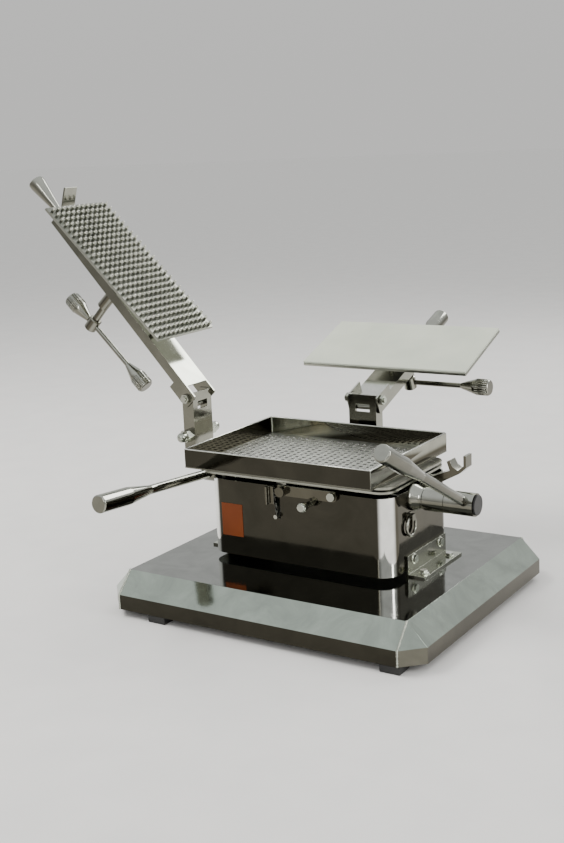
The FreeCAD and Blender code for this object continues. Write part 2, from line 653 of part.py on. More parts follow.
def arm_channel(label, web, flange, reach, middle, guides, place):
    """A channel arm along local X: web at height web, flanges away from the plate, hinge lugs.

    The flanges straddle the post at the hinge end, and an end plate closes the other end.
    """
    body = new_body(label)
    lug, side = "0 - hinge_bore - 6", "0 - arm_wide / 2"
    inner = "arm_wide - 2 * arm_sheet"
    block(body, (lug, side, web), (f"{reach} + hinge_bore + 6", "arm_wide", flange))
    block(body, (lug, side, "0 - 9"), ("42", "arm_wide", "20"))
    block(body, (f"{lug} - 1", f"{side} + arm_sheet", f"{web} + arm_sheet"),
          (f"{reach} + hinge_bore + 7 - arm_sheet", inner, f"{flange} + 12"), cut=True)
    block(body, (f"{lug} - 1", f"{side} + arm_sheet", f"{web} - 30"),
          ("60", inner, "30"), cut=True)
    block(body, (f"{lug} - 1", f"{side} + arm_sheet", f"{web} - 1"),
          ("arm_start + hinge_bore + 7", inner, "arm_sheet + 2"), cut=True)
    rod(body, ("0", "0 - arm_wide", "0"), "hinge_bore + fit_gap", "2 * arm_wide", "y", cut=True)
    rod(body, (middle, "0", f"{web} - 1"), "screw_rod + web_gap", "arm_sheet + 2", "z", cut=True)
    for spot in guides:
        rod(body, (spot, "0", f"{web} - 1"), "guide_bore + web_gap", "arm_sheet + 2", "z", cut=True)
    round_edges(body, "3", lug_corner)
    keep(body, place)


def lug_corner(edge):
    """True for the cross edges at the hinge end of an arm's flanges."""
    ends = [vertex.Point for vertex in edge.Vertexes]
    if len(ends) != 2 or abs(ends[0].y - ends[1].y) < 1 or abs(ends[0].y - ends[1].y) > 5:
        return False
    return all(abs(point.x + 10) < 0.01 for point in ends)


def turned_grip(label, start, stem, tip, length, inner, place, high="0", cap=1.5):
    """A turned grip along local X: slim stem, swelling neck, straight barrel, small end bevel."""
    body = new_body(label)
    sketch = sketch_on(body, "XZ_Plane")
    bind(sketch, "AttachmentOffset.Base.y", high)
    outline(sketch, [(start, "0"), (start, inner), (f"{start} + {stem}", inner),
                     (f"{start} + {length} * 0.45", tip), (f"{start} + {length} - {cap}", tip),
                     (f"{start} + {length}", f"{tip} - {cap}"), (f"{start} + {length}", "0")])
    revolve(body, sketch)
    return keep(body, place)


def press_unit(prefix, place, middle, web, back, guide_spots, bar_way, lean=0):
    """Boss, press screw and sliding tommy bar on the back of an arm, and the guide rods.

    Local X runs along the plate and Z points away from it; bar_way is the tommy bar's direction, and
    lean is the angle between the arm and the plate.
    """
    web_top = web + size("arm_sheet")
    stop_gap = 14
    screw, boss_radius = size("screw_rod"), size("boss_bore")
    boss_long = size(f"{prefix}_boss_long")
    tilt = math.radians(lean)
    along = (middle - math.sin(tilt) * web_top) / math.cos(tilt)
    rise = web_top * math.cos(tilt) - along * math.sin(tilt)
    boss_top = rise + boss_long
    head_low = boss_top + size(f"{prefix}_head_gap")
    head_top = head_low + size("head_long")
    centre = Vector(middle, 0, 0)
    bore = bar(centre + Z_AXIS * (rise - 5), screw + size("fit_gap"), boss_long + 10, Z_AXIS)
    root = Vector(along, 0, web_top)
    boss = bar(root, boss_radius, boss_long, Z_AXIS).fuse(bar(root, boss_radius + 4, 5, Z_AXIS))
    boss = boss.transformed(Placement(Vector(), Rotation(Y_AXIS, lean)).toMatrix())
    keep(feature(f"{prefix}_arm_boss", boss.cut(bore).removeSplitter()), place)

    stem = bar(centre + Z_AXIS * back, screw, head_low - back, Z_AXIS)
    head = bar(centre + Z_AXIS * head_low, size("head_bore"), size("head_long"), Z_AXIS)
    head = head.makeChamfer(1.5, [edge for edge in head.Edges if len(edge.Vertexes) == 1])
    hub = centre + Z_AXIS * (head_low + head_top) / 2
    cross = bar(hub - bar_way * 20, size("tommy_rod") + size("fit_gap"), 40, bar_way)
    keep(feature(f"{prefix}_screw", stem.fuse(head).cut(cross).removeSplitter()), place)

    grip, reach = size("tommy_grip_long"), size("tommy_grip_bore")
    short, long = size("tommy_short"), size("tommy_long")
    solids = [bar(hub - bar_way * (long - grip), size("tommy_rod"), short + long - 2 * grip, bar_way)]
    for way, extent in ((bar_way, short), (-bar_way, long)):
        root = hub + way * (extent - grip)
        cone = Part.makeCone(size("tommy_rod") + 0.5, reach, grip * 0.5, root, way)
        barrel = bar(root + way * grip * 0.5, reach, grip * 0.5, way)
        barrel = barrel.makeChamfer(1.5, [edge for edge in barrel.Edges if len(edge.Vertexes) == 1
                                          and (edge.CenterOfMass - root).Length > grip * 0.9])
        solids.append(cone.fuse(barrel).removeSplitter())
    keep(feature(f"{prefix}_tommy_bar", Part.makeCompound(solids)), place)

    rods = []
    for spot in guide_spots:
        foot = Vector(spot, 0, back)
        cap_at = web_top - spot * math.tan(tilt) + stop_gap
        stem = bar(foot, size("guide_bore"), cap_at - back, Z_AXIS)
        cap = hexagon_head(Vector(spot, 0, cap_at), Z_AXIS, 11, 6)
        rods.append(stem.fuse(cap).removeSplitter())
    keep(feature(f"{prefix}_guide_rods", Part.makeCompound(rods)), place)


def build_pin_arm():
    """The arm with the pin plate: channel, end grip, tongue, plate, pins and press unit."""
    place = pin_place()
    lean = size("pin_lean")
    arm_place = place.multiply(Placement(Vector(), Rotation(Y_AXIS, lean)))
    tilt = math.radians(lean)
    middle = size("field_x") - size("pin_hinge_x")
    spread = 95
    spots = [middle - spread, middle + spread]
    web_middle = size("pin_web") + size("arm_sheet") / 2
    holes = [str(round((spot - math.sin(tilt) * web_middle) / math.cos(tilt), 3))
             for spot in [middle] + spots]
    arm_channel("pin_arm_channel", "pin_web", "pin_flange", "pin_arm_end", holes[0], holes[1:], arm_place)
    turned_grip("pin_arm_grip", "pin_arm_end", "14", "end_grip_bore", "end_grip_long + 16", "5", arm_place,
                "pin_grip_high")
    tongue = new_body("pin_arm_tongue")
    sketch = sketch_on(tongue, "XZ_Plane", "0 - tongue_wide / 2")
    outline(sketch, [("pin_arm_end", "0 - 10.5"), ("pin_arm_end + 3.5", "0 - 10.5"),
                     ("pin_arm_end + 3.5", "0 - 15"), ("pin_arm_end + 13", "0 - 30"),
                     ("pin_arm_end + 25", "0 - 50"), ("pin_arm_end + 22", "0 - 52"),
                     ("pin_arm_end + 10", "0 - 32"), ("pin_arm_end", "0 - 17")])
    pad(tongue, sketch, "tongue_wide")
    keep(tongue, arm_place)

    plate = new_body("pin_plate")
    long = "(columns - 1) * pitch + 14"
    wide = "(rows - 1) * pitch + 14"
    block(plate, ("pin_plate_near", f"field_y - pin_hinge_y - ({wide}) / 2", "0 - pin_face"),
          (long, wide, "pin_plate_thick"))
    keep(plate, place)
    tip, bevel = size("pin_bore"), 0.7
    low = -size("pin_face") - size("pin_long")
    pins = []
    for x, y in field_sites():
        foot = Vector(x - size("pin_hinge_x"), y - size("pin_hinge_y"), low)
        point = Part.makeCone(tip - bevel, tip, bevel, foot, Z_AXIS)
        stem = bar(foot + Z_AXIS * bevel, tip, size("pin_long") - bevel, Z_AXIS)
        pins.append(point.fuse(stem).removeSplitter())
    keep(feature("pressing_pins", Part.makeCompound(pins)), place)
    back = -size("pin_face") + size("pin_plate_thick")
    press_unit("pin", place, middle, size("pin_web"), back, spots, X_AXIS, lean)


def build_seal_arm():
    """The arm with the rubber-faced sealing plate; local Z points away from the rubber face."""
    frame = seal_place().multiply(Placement(Vector(), Rotation(Z_AXIS, 90)))
    frame = frame.multiply(Placement(Vector(), Rotation(X_AXIS, 180)))
    middle = size("seal_near") + ((size("rows") - 1) * size("pitch") + 14) / 2
    spread = 48
    spots = [middle - spread, middle + spread]
    arm_channel("seal_arm_channel", "seal_web", "seal_flange", "seal_arm_end", str(middle),
                [str(spot) for spot in spots], frame)
    turned_grip("seal_arm_grip", "seal_arm_end", "10", "end_grip_bore", "end_grip_long", "5", frame,
                "seal_grip_high")
    deep = "(rows - 1) * pitch + 14"
    left, wide = "seal_left - seal_hinge_x", "seal_right - seal_left"
    plate = new_body("seal_plate")
    block(plate, ("seal_near", left, "pad_thick - seal_face"), (deep, wide, "seal_plate_thick"))
    keep(plate, frame)
    rubber = new_body("seal_rubber_pad")
    block(rubber, ("seal_near", left, "0 - seal_face"), (deep, wide, "pad_thick"))
    keep(rubber, frame)
    back = -size("seal_face") + size("pad_thick") + size("seal_plate_thick")
    press_unit("seal", frame, middle, size("seal_web"), back, spots, -Y_AXIS)


# ---- Levers, shafts and bearings ---------------------------------------------------------------

def lever_place(plane, raise_angle):
    """Frame of a lever: local X from the shaft axis to the lever's end, in the lever's plane."""
    centre = Vector(size(plane), size("shaft_y"), size("shaft_z"))
    turn = Rotation(X_AXIS, -size(raise_angle)).multiply(Rotation(Z_AXIS, -90))
    return Placement(centre, turn)


def build_levers():
    """Cross shafts with eccentrics, bearings, hubs, lever rods and grips."""
    y, z, radius = size("shaft_y"), size("shaft_z"), size("shaft_bore")
    left, right = size("body_left"), size("body_right")
    axis = Vector(0, y, z)
    gap = size("fit_gap")
    for side, face, way, reach in (("left", left, -1, 18), ("right", right, 1, 18)):
        flange, sleeve = size(f"{side}_flange"), size(f"{side}_sleeve")
        out = X_AXIS * way
        base = axis + X_AXIS * face
        disc = bar(base, flange, 4, out)
        tube = bar(base - out * size("body_wall"), sleeve, reach + size("body_wall"), out)
        shape = disc.fuse(tube).cut(bar(base - out * 10, radius + gap, 60, out))
        if way > 0:
            flare = Part.makeCone(flange, sleeve, 10, base + out * 4, out)
            shape = shape.fuse(flare.cut(bar(base - out * 10, radius + gap, 60, out)))
        keep(feature(f"{side}_bearing", shape.removeSplitter()))

    inner, throw = -118, 1.85
    cam = bar(axis + Vector(-128.5, 0, -throw), 7, 7, X_AXIS)
    stub = bar(axis + X_AXIS * (size("left_plane") - 8), radius, left + 4 - size("left_plane") + 8, X_AXIS)
    journal = bar(axis + X_AXIS * (left + 4), 5, inner - left - 4, X_AXIS)
    keep(feature("left_shaft", stub.fuse([journal, cam]).removeSplitter()))
    body = bar(axis + X_AXIS * 70, radius, size("sleeve_end") - 70, X_AXIS)
    lobe_turn = math.radians(25)
    lobe = bar(axis + Vector(98, 3 * math.cos(lobe_turn), -3 * math.sin(lobe_turn)), 10, 8, X_AXIS)
    keep(feature("right_shaft", body.fuse(lobe).removeSplitter()))

    start, end, bore = size("sleeve_start"), size("sleeve_end"), size("sleeve_bore")
    tube = bar(axis + X_AXIS * start, bore, end - start, X_AXIS)
    groove = bar(axis + X_AXIS * (start + 30), bore + 1, 1.5, X_AXIS).cut(
        bar(axis + X_AXIS * (start + 30), bore - 1, 1.5, X_AXIS))
    hole = bar(axis + X_AXIS * (start - 1), radius, end - start + 2, X_AXIS)
    place = lever_place("right_plane", "right_raise")
    socket = bar(place.Base, size("lever_rod"), 40, place.Rotation.multVec(X_AXIS))
    keep(feature("right_sleeve", tube.cut(groove).cut(hole).cut(socket)))
    keep(feature("right_sleeve_cap", bar(axis + X_AXIS * end, size("cap_bore"), size("cap_thick"), X_AXIS)))

    stem_start = 10
    grip_start = size("lever_reach") - size("lever_grip_long")
    body = new_body("right_lever")
    grip_at = "lever_reach - lever_grip_long"
    rod(body, (str(stem_start), "0", "0"), "lever_rod", f"{grip_at} - {stem_start}", "x")
    rod(body, ("0", "0 - 30", "0"), "shaft_bore", "60", "y", cut=True)
    keep(body, place)
    turned_grip("right_grip", grip_at, "0.5", "right_grip_bore", "lever_grip_long", "lever_rod", place)

    place = lever_place("left_plane", "left_raise")
    hub = bar(axis + X_AXIS * (size("left_plane") - 13), 14, 26, X_AXIS)
    way = place.Rotation.multVec(X_AXIS)
    stick = bar(place.Base + way * 8, size("lever_rod"), grip_start - 8, way)
    shaft_hole = bar(axis + X_AXIS * (size("left_plane") - 8), radius, 60, X_AXIS)
    keep(feature("left_lever", hub.fuse(stick).cut(shaft_hole).removeSplitter()))
    turned_grip("left_grip", grip_at, "0.5", "left_grip_bore", "lever_grip_long", "lever_rod", place)


# ---- Front, side fittings ----------------------------------------------------------------------

def build_fittings():
    """Front latch and keeper, stop screw, blank label, pull ring and catch hook."""
    front = size("body_front")
    keeper = new_body("latch_keeper")
    block(keeper, ("-43", "body_front - 2.5", "150"), ("10", "2.5", "25"))
    block(keeper, ("-43", "body_front - 8", "150"), ("2.5", "8", "25"))
    keep(keeper)

    pivot = Vector(size("latch_x"), front, size("latch_z"))
    stem = bar(pivot + Y_AXIS * 6, 3, 12, -Y_AXIS)
    head = bar(pivot - Y_AXIS * 5.4, 6, 3, -Y_AXIS)
    keep(feature("latch_pivot", stem.fuse(head).removeSplitter()))
    strap = Part.makeBox(92, 4, 14, Vector(-24, front - 5, size("latch_z") - 7))
    strap = strap.makeFillet(6.5, [edge for edge in strap.Edges
                                   if edge.Vertexes[0].Point.x > 60 and edge.Vertexes[-1].Point.x > 60
                                   and abs(edge.Length - 4) < 0.01])
    knob = bar(Vector(-16, front - 5, size("latch_z")), 7, 9, -Y_AXIS)
    hole = bar(pivot + Y_AXIS * 1, 3 + size("fit_gap"), 10, -Y_AXIS)
    keep(feature("front_latch", strap.fuse(knob).cut(hole).removeSplitter()))

    screw = bar(Vector(23, front + 8, 157), 4, 24, -Y_AXIS)
    knurl = bar(Vector(23, front - 12, 157), 6, 12, -Y_AXIS)
    knurl = knurl.makeChamfer(1, [edge for edge in knurl.Edges if len(edge.Vertexes) == 1])
    keep(feature("stop_screw", screw.fuse(knurl).removeSplitter()))

    label = new_body("front_label")
    block(label, ("-122", "body_front - 0.6", "95"), ("35", "0.6", "47"))
    keep(label)

    right = size("body_right")
    ring_y, ring_z, wire, across = (size(name) for name in ("ring_y", "ring_z", "ring_wire", "ring_bore"))
    depth = right + 3.4
    ring = Part.makeTorus(across, wire, Vector(depth, ring_y, ring_z), X_AXIS)
    keep(feature("pull_ring", ring))
    eye_z = ring_z + across
    plate = Part.makeBox(1.2, 14, 12, Vector(right, ring_y - 7, eye_z - 6))
    cheeks = [Part.makeBox(7.5, 1.6, 9, Vector(right, ring_y + side - 0.8, eye_z - 4.5))
              for side in (-3.2, 3.2)]
    lip = Part.makeBox(1.4, 8, 9, Vector(right + 6.4, ring_y - 4, eye_z - 4.5))
    seat = bar(Vector(depth, ring_y - 6, eye_z), wire + 0.9, 12, Y_AXIS)
    keep(feature("ring_staple", plate.fuse(cheeks + [lip]).cut(seat).removeSplitter()))

    hook_x, hook_z, middle = size("hook_x"), size("hook_z"), 17
    pivot = Vector(hook_x, middle, hook_z)
    lug = Part.makeBox(16, 3, 26, Vector(right, middle - 13, hook_z - 20))
    other = Part.makeBox(16, 3, 26, Vector(right, middle + 10, hook_z - 20))
    wall = Part.makeBox(2, 26, 12, Vector(right, middle - 13, hook_z - 20))
    stub = bar(Vector(right - 6, middle, hook_z - 12), 3, 6, X_AXIS)
    axle = bar(pivot - Y_AXIS * 17, 3, 34, Y_AXIS)
    nuts = [hexagon_head(pivot + Y_AXIS * side * 13, Y_AXIS * side, 10, 4).cut(axle) for side in (1, -1)]
    fork = wall.fuse([lug, other, stub]).cut(axle).removeSplitter()
    keep(feature("hook_pivot", Part.makeCompound([fork, axle] + nuts)))
    body = new_body("catch_hook")
    sketch = sketch_on(body, "XZ_Plane", "0 - 9")
    outline(sketch, [("0 - 5", "0 - 5"), ("5", "0 - 6"), ("48", "17"), ("58", "26"), ("58", "42"),
                     ("54", "42"), ("54", "28"), ("46", "21"), ("38", "26"), ("34", "34"), ("30", "32"),
                     ("34", "20"), ("0", "6"), ("0 - 5", "4")])
    pad(body, sketch, "18")
    rod(body, ("0", "0 - 20", "0"), "3 + fit_gap", "40", "y", cut=True)
    keep(body, Placement(pivot, Rotation()))


# ---- Build, check and write --------------------------------------------------------------------

def check_document():
    """Stop if any object failed or any exported shape is null or invalid."""
    DOC.recompute()
    for item in DOC.Objects:
        if "Invalid" in item.State or "Error" in item.State:
            raise RuntimeError(f"{item.Label} did not recompute")
    for item, _ in PARTS:
        if item.Shape.isNull() or not item.Shape.isValid():
            raise RuntimeError(f"{item.Label} has no valid shape")


def write_parts():
    """Place each piece, shift it to the part's origin and write its STEP file."""
    os.makedirs("parts", exist_ok=True)
    shift = Placement(Vector(-size("origin_x"), -size("origin_y"), 0), Rotation())
    total = FreeCAD.BoundBox()
    for item, place in PARTS:
        item.Placement = shift.multiply(place).multiply(item.Placement)
    DOC.recompute()
    for item, _ in PARTS:
        item.Shape.exportStep(os.path.join("parts", item.Label + ".step"))
        total.add(item.Shape.BoundBox)
    print(len(PARTS), "pieces")
    print("box centre", round((total.XMin + total.XMax) / 2, 3), round((total.YMin + total.YMax) / 2, 3))
    print("box size", [round(value, 2) for value in (total.XLength, total.YLength, total.ZLength)])


fill_sheet()
bolt_holes = frame_fasteners()
build_base(bolt_holes)
build_housing(bolt_holes)
build_bed()
build_clamp()
build_lift()
build_tray()
build_posts(bolt_holes)
build_pin_arm()
build_seal_arm()
build_levers()
build_fittings()
check_document()
write_parts()
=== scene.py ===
"""Looks, light and camera for the hand-operated capsule filler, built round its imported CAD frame."""

import logging
import math
from dataclasses import dataclass, field
from enum import Enum

import bmesh
import bpy
from mathutils import Matrix, Vector


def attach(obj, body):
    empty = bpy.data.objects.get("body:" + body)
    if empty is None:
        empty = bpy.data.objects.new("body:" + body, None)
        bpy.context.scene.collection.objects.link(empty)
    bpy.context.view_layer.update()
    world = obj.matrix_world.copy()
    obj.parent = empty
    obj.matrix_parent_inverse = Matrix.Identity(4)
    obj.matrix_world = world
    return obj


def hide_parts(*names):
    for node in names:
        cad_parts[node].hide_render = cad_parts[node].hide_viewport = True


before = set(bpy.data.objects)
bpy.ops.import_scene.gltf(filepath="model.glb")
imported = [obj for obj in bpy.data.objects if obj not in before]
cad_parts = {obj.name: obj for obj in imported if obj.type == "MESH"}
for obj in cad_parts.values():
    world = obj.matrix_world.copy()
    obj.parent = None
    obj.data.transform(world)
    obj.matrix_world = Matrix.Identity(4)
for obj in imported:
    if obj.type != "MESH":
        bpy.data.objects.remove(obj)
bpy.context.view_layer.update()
LOG = logging.getLogger("capsule_filler")

MM = 0.001
BENCH_CENTRE = Vector((0.14412, -0.073975, 0.0))   # middle of the base on the bench, in the row frame
HOLE_PITCH = 0.011
COLUMNS, ROWS = 25, 12


def work(x: float, y: float, z: float) -> Vector:
    """A point given in millimetres from the middle of the base, in the row frame."""
    return BENCH_CENTRE + Vector((x, y, z)) * MM


class Look(Enum):
    """The finishes of the press, by the record's material slot."""

    POLISHED = "polished_steel"
    BRIGHT = "bright_steel"
    SATIN = "satin_steel"
    PAD = "pad_rubber"
    FOOT = "foot_rubber"
    CAP = "black_cap"
    LABEL = "orange_label"


# ---- Node helpers --------------------------------------------------------------------------------

class Graph:
    """A small wrapper that adds and joins the nodes of one tree."""

    def __init__(self, tree: bpy.types.NodeTree) -> None:
        """Start on an empty tree.

        Args:
            tree: the node tree to fill.
        """
        self.tree = tree
        tree.nodes.clear()

    def node(self, kind: str, inputs: dict | None = None, **settings) -> bpy.types.Node:
        """Add one node.

        Args:
            kind: the node's type name.
            inputs: socket name or number to a value or another node's output socket.
            settings: attributes of the node, such as its operation.

        Returns:
            The new node.
        """
        made = self.tree.nodes.new(kind)
        for name, value in settings.items():
            setattr(made, name, value)
        for key, value in (inputs or {}).items():
            socket = made.inputs[key]
            if isinstance(value, bpy.types.NodeSocket):
                self.tree.links.new(value, socket)
            else:
                socket.default_value = value
        return made


def rgba(colour: tuple[float, float, float]) -> tuple[float, float, float, float]:
    """An opaque four-part colour."""
    return (*colour, 1.0)


# ---- Finishes ------------------------------------------------------------------------------------

@dataclass(frozen=True)
class SteelFinish:
    """Stainless steel: a painted reflection tone by facing (dark on upright faces, pale on faces along way,
    a painted highlight on rounded corners), polish lines, smears and fine scratches.

    Attributes:
        name: the material's name.
        flat: painted reflection tone of faces turned fully along way.
        sloped: painted reflection tone of faces turned half along way.
        front: painted reflection tone of upright faces along Y, dark as if mirroring dark surroundings.
        side: painted reflection tone of upright faces along X.
        corner: painted highlight tone of upright faces half along X and half along Y, the rounded corners.
        roughness: middle roughness.
        spread: how far smears move the roughness.
        grain: stretch of the polish lines, per axis.
        relief: depth of the polish lines.
        smear: size of the smears, per metre.
        way: direction that the painted reflection tone of flat faces looks along.
    """

    name: str
    flat: tuple[float, float, float]
    sloped: tuple[float, float, float]
    front: tuple[float, float, float]
    side: tuple[float, float, float]
    corner: tuple[float, float, float]
    roughness: float
    spread: float = 0.05
    grain: tuple[float, float, float] = (40.0, 900.0, 900.0)
    relief: float = 0.012
    smear: float = 22.0
    way: tuple[float, float, float] = (0.0, 0.0, 1.0)

    def tone(self, graph: Graph) -> bpy.types.NodeSocket:
        """The colour by facing: painted reflection, dark on upright faces, pale on faces along way, with a
        painted highlight on the rounded corners.

        Args:
            graph: the material's graph.

        Returns:
            The colour socket.
        """
        normal = graph.node("ShaderNodeNewGeometry").outputs["Normal"]
        rise = graph.node("ShaderNodeVectorMath", {0: normal, 1: self.way}, operation="DOT_PRODUCT")
        split = graph.node("ShaderNodeSeparateXYZ", {"Vector": normal})
        across = graph.node("ShaderNodeMath", {0: split.outputs["X"]}, operation="ABSOLUTE")
        # Corner mask |Nx*Ny|, largest on the rounded corners of upright faces, where a painted highlight
        # goes.
        both = graph.node("ShaderNodeMath", {0: split.outputs["X"], 1: split.outputs["Y"]},
                          operation="MULTIPLY")
        corner_highlight_mask = graph.node("ShaderNodeMath", {0: both.outputs[0]}, operation="ABSOLUTE")
        # Painted reflection: upright faces start dark, then the side tone, the corner painted highlight, and
        # the pale tones for faces turned along way.
        colour = rgba(self.front)
        painted_reflection_steps = ((across.outputs[0], 0.35, 0.85, self.side), (corner_highlight_mask.outputs[0], 0.22, 0.42, self.corner),
                 (rise.outputs["Value"], 0.0, 0.55, self.sloped),
                 (rise.outputs["Value"], 0.88, 0.98, self.flat))
        for measure, low, high, tone in painted_reflection_steps:
            amount = graph.node("ShaderNodeMapRange", {"Value": measure, "From Min": low, "From Max": high},
                                interpolation_type="SMOOTHSTEP")
            colour = graph.node("ShaderNodeMix", {0: amount.outputs[0], 6: colour, 7: rgba(tone)},
                                data_type="RGBA").outputs[2]
        return colour

    def build(self) -> bpy.types.Material:
        """Make the material."""
        material = bpy.data.materials.new(self.name)
        material.use_nodes = True
        graph = Graph(material.node_tree)
        place = graph.node("ShaderNodeTexCoord")
        lines_at = graph.node("ShaderNodeMapping", {"Vector": place.outputs["Object"], "Scale": self.grain})
        lines = graph.node("ShaderNodeTexNoise", {"Vector": lines_at.outputs[0], "Scale": 1.0,
                                                  "Detail": 3.0})
        smears = graph.node("ShaderNodeTexNoise", {"Vector": place.outputs["Object"], "Scale": self.smear,
                                                   "Detail": 5.0, "Roughness": 0.6, "Distortion": 0.8})
        specks = graph.node("ShaderNodeTexNoise", {"Vector": place.outputs["Object"], "Scale": 420.0,
                                                   "Detail": 2.0})
        stain = graph.node("ShaderNodeMapRange", {"Value": smears.outputs["Fac"], "From Min": 0.35,
                                                  "From Max": 0.70, "To Min": 0.84, "To Max": 1.08})
        # Smear stains darken or brighten the painted reflection tone; the stains are the steel's own, the
        # tone by facing is painted reflection.
        stained_painted_reflection = graph.node("ShaderNodeMix", {0: 1.0, 6: self.tone(graph), 7: stain.outputs[0]},
                             data_type="RGBA", blend_type="MULTIPLY")
        uneven = graph.node("ShaderNodeMapRange", {
            "Value": smears.outputs["Fac"], "From Min": 0.3, "From Max": 0.7,
            "To Min": self.roughness - self.spread / 2, "To Max": self.roughness + self.spread})
        dusty = graph.node("ShaderNodeMapRange", {"Value": specks.outputs["Fac"], "From Min": 0.62,
                                                  "From Max": 0.75, "To Min": 0.0, "To Max": 0.08})
        rough = graph.node("ShaderNodeMath", {0: uneven.outputs[0], 1: dusty.outputs[0]}, operation="ADD")
        bump = graph.node("ShaderNodeBump", {"Height": lines.outputs["Fac"], "Strength": self.relief * 10,
                                             "Distance": 0.0001})
        shader = graph.node("ShaderNodeBsdfPrincipled", {
            "Base Color": stained_painted_reflection.outputs[2], "Metallic": 1.0, "Roughness": rough.outputs[0],
            "Normal": bump.outputs[0]})
        graph.node("ShaderNodeOutputMaterial", {"Surface": shader.outputs[0]})
        return material


@dataclass(frozen=True)
class MouldedFinish:
    """Rubber, plastic or film: fine grain and soft colour drift.

    Attributes:
        name: the material's name.
        colour: main colour.
        drift: colour that the slow variation moves to.
        roughness: middle roughness.
        grain: grain size, per metre.
        relief: grain depth.
        specular: strength of the gloss.
    """

    name: str
    colour: tuple[float, float, float]
    drift: tuple[float, float, float]
    roughness: float
    grain: float = 900.0
    relief: float = 0.15
    specular: float = 0.4

    def build(self) -> bpy.types.Material:
        """Make the material."""
        material = bpy.data.materials.new(self.name)
        material.use_nodes = True
        graph = Graph(material.node_tree)
        place = graph.node("ShaderNodeTexCoord")
        slow = graph.node("ShaderNodeTexNoise", {"Vector": place.outputs["Object"], "Scale": 14.0,
                                                 "Detail": 6.0})
        fine = graph.node("ShaderNodeTexNoise", {"Vector": place.outputs["Object"], "Scale": self.grain,
                                                 "Detail": 3.0})
        amount = graph.node("ShaderNodeMapRange", {"Value": slow.outputs["Fac"], "From Min": 0.35,
                                                   "From Max": 0.68})
        tone = graph.node("ShaderNodeMix", {0: amount.outputs[0], 6: rgba(self.colour),
                                            7: rgba(self.drift)}, data_type="RGBA")
        half_spread = 0.08
        rough = graph.node("ShaderNodeMapRange", {
            "Value": fine.outputs["Fac"], "To Min": self.roughness - half_spread,
            "To Max": self.roughness + half_spread})
        bump = graph.node("ShaderNodeBump", {"Height": fine.outputs["Fac"], "Strength": self.relief,
                                             "Distance": 0.0002})
        shader = graph.node("ShaderNodeBsdfPrincipled", {
            "Base Color": tone.outputs[2], "Roughness": rough.outputs[0], "Normal": bump.outputs[0],
            "Specular IOR Level": self.specular})
        graph.node("ShaderNodeOutputMaterial", {"Surface": shader.outputs[0]})
        return material


class Finishes:
    """Every finish of the press, made once and handed out by name."""

    def __init__(self) -> None:
        """Make the materials."""
        # Steel tones below feed the painted reflection by facing: night, olive and dusk paint dark
        # surroundings mirrored in upright faces, pale and white paint bright light on upward faces and a
        # painted highlight on rounded corners.
        white, pale, grey = (0.88, 0.88, 0.84), (0.56, 0.59, 0.51), (0.34, 0.34, 0.29)
        green, dusk = (0.44, 0.50, 0.44), (0.16, 0.155, 0.125)
        olive, night = (0.085, 0.078, 0.058), (0.040, 0.037, 0.028)
        upright_grain = (900.0, 900.0, 40.0)
        even_grain = (260.0, 260.0, 260.0)
        self.base = SteelFinish("mirror_base_sheet", (0.33, 0.345, 0.325), green, night, olive, dusk,
                                0.07).build()
        self.housing = SteelFinish("mirror_housing_sheet", pale, grey, night, olive, white, 0.07,
                                   grain=upright_grain).build()
        self.tray = SteelFinish("mirror_tray_sheet", white, pale, night, olive, grey, 0.05).build()
        self.tray_floor = SteelFinish("perforated_tray_sheet", (0.72, 0.74, 0.67), grey, dusk, dusk, dusk,
                                      0.40, smear=60.0).build()
        self.bracket = SteelFinish("bracket_plate", pale, pale, dusk, grey, pale, 0.14).build()
        self.fitting = SteelFinish("dark_fitting_plate", pale, grey, olive, dusk, grey, 0.10).build()
        self.arm = SteelFinish("arm_channel_sheet", white, pale, dusk, grey, grey, 0.12).build()
        self.turned = SteelFinish("turned_bar_steel", pale, (0.46, 0.47, 0.42), dusk, dusk,
                                  grey, 0.10, grain=even_grain).build()
        # Darker copy of the turned bar steel: painted shade on the pin arm's boss, guide rods and screw.
        self.dark_turned = SteelFinish("shaded_bar_steel", pale, grey, olive, dusk, grey, 0.12,
                                       grain=even_grain).build()
        self.fastener = SteelFinish("fastener_steel", white, pale, grey, pale, pale, 0.18,
                                    grain=even_grain).build()
        # The near-white tone along way, the pins' pointing direction, is a painted highlight on the domed
        # tips.
        self.pin = SteelFinish("pin_steel", (0.97, 0.96, 0.90), (0.70, 0.71, 0.62), grey, grey, grey, 0.24,
                               grain=even_grain, way=(0.692, 0.0, 0.722)).build()
        self.plate = SteelFinish("ground_plate_steel", (0.40, 0.41, 0.36), (0.30, 0.31, 0.27), grey, grey,
                                 grey, 0.30, relief=0.03).build()
        self.weld = SteelFinish("weld_bead_steel", white, pale, grey, grey, pale, 0.32, grain=even_grain,
                                relief=0.06).build()
        self.rim = SteelFinish("polished_rim_steel", (0.96, 0.96, 0.92), white, pale, pale, white,
                               0.16).build()
        self.pad = MouldedFinish("pad_sheet_rubber", (0.60, 0.635, 0.53), (0.53, 0.565, 0.475),
                                 0.55).build()
        self.foot = MouldedFinish("foot_black_rubber", (0.012, 0.012, 0.012), (0.03, 0.03, 0.028),
                                  0.62).build()
        self.cap = MouldedFinish("hub_cap_plastic", (0.01, 0.01, 0.01), (0.02, 0.02, 0.02), 0.38).build()
        self.label = MouldedFinish("blank_orange_film", (0.20, 0.044, 0.006), (0.15, 0.032, 0.005), 0.42,
                                   relief=0.04, specular=0.2).build()


def dress(piece: bpy.types.Object, material: bpy.types.Material) -> None:
    """Give every slot of a piece one material.

    Args:
        piece: the object to dress.
        material: its finish.
    """
    piece.data.materials.clear()
    piece.data.materials.append(material)


# ---- Mesh helpers --------------------------------------------------------------------------------

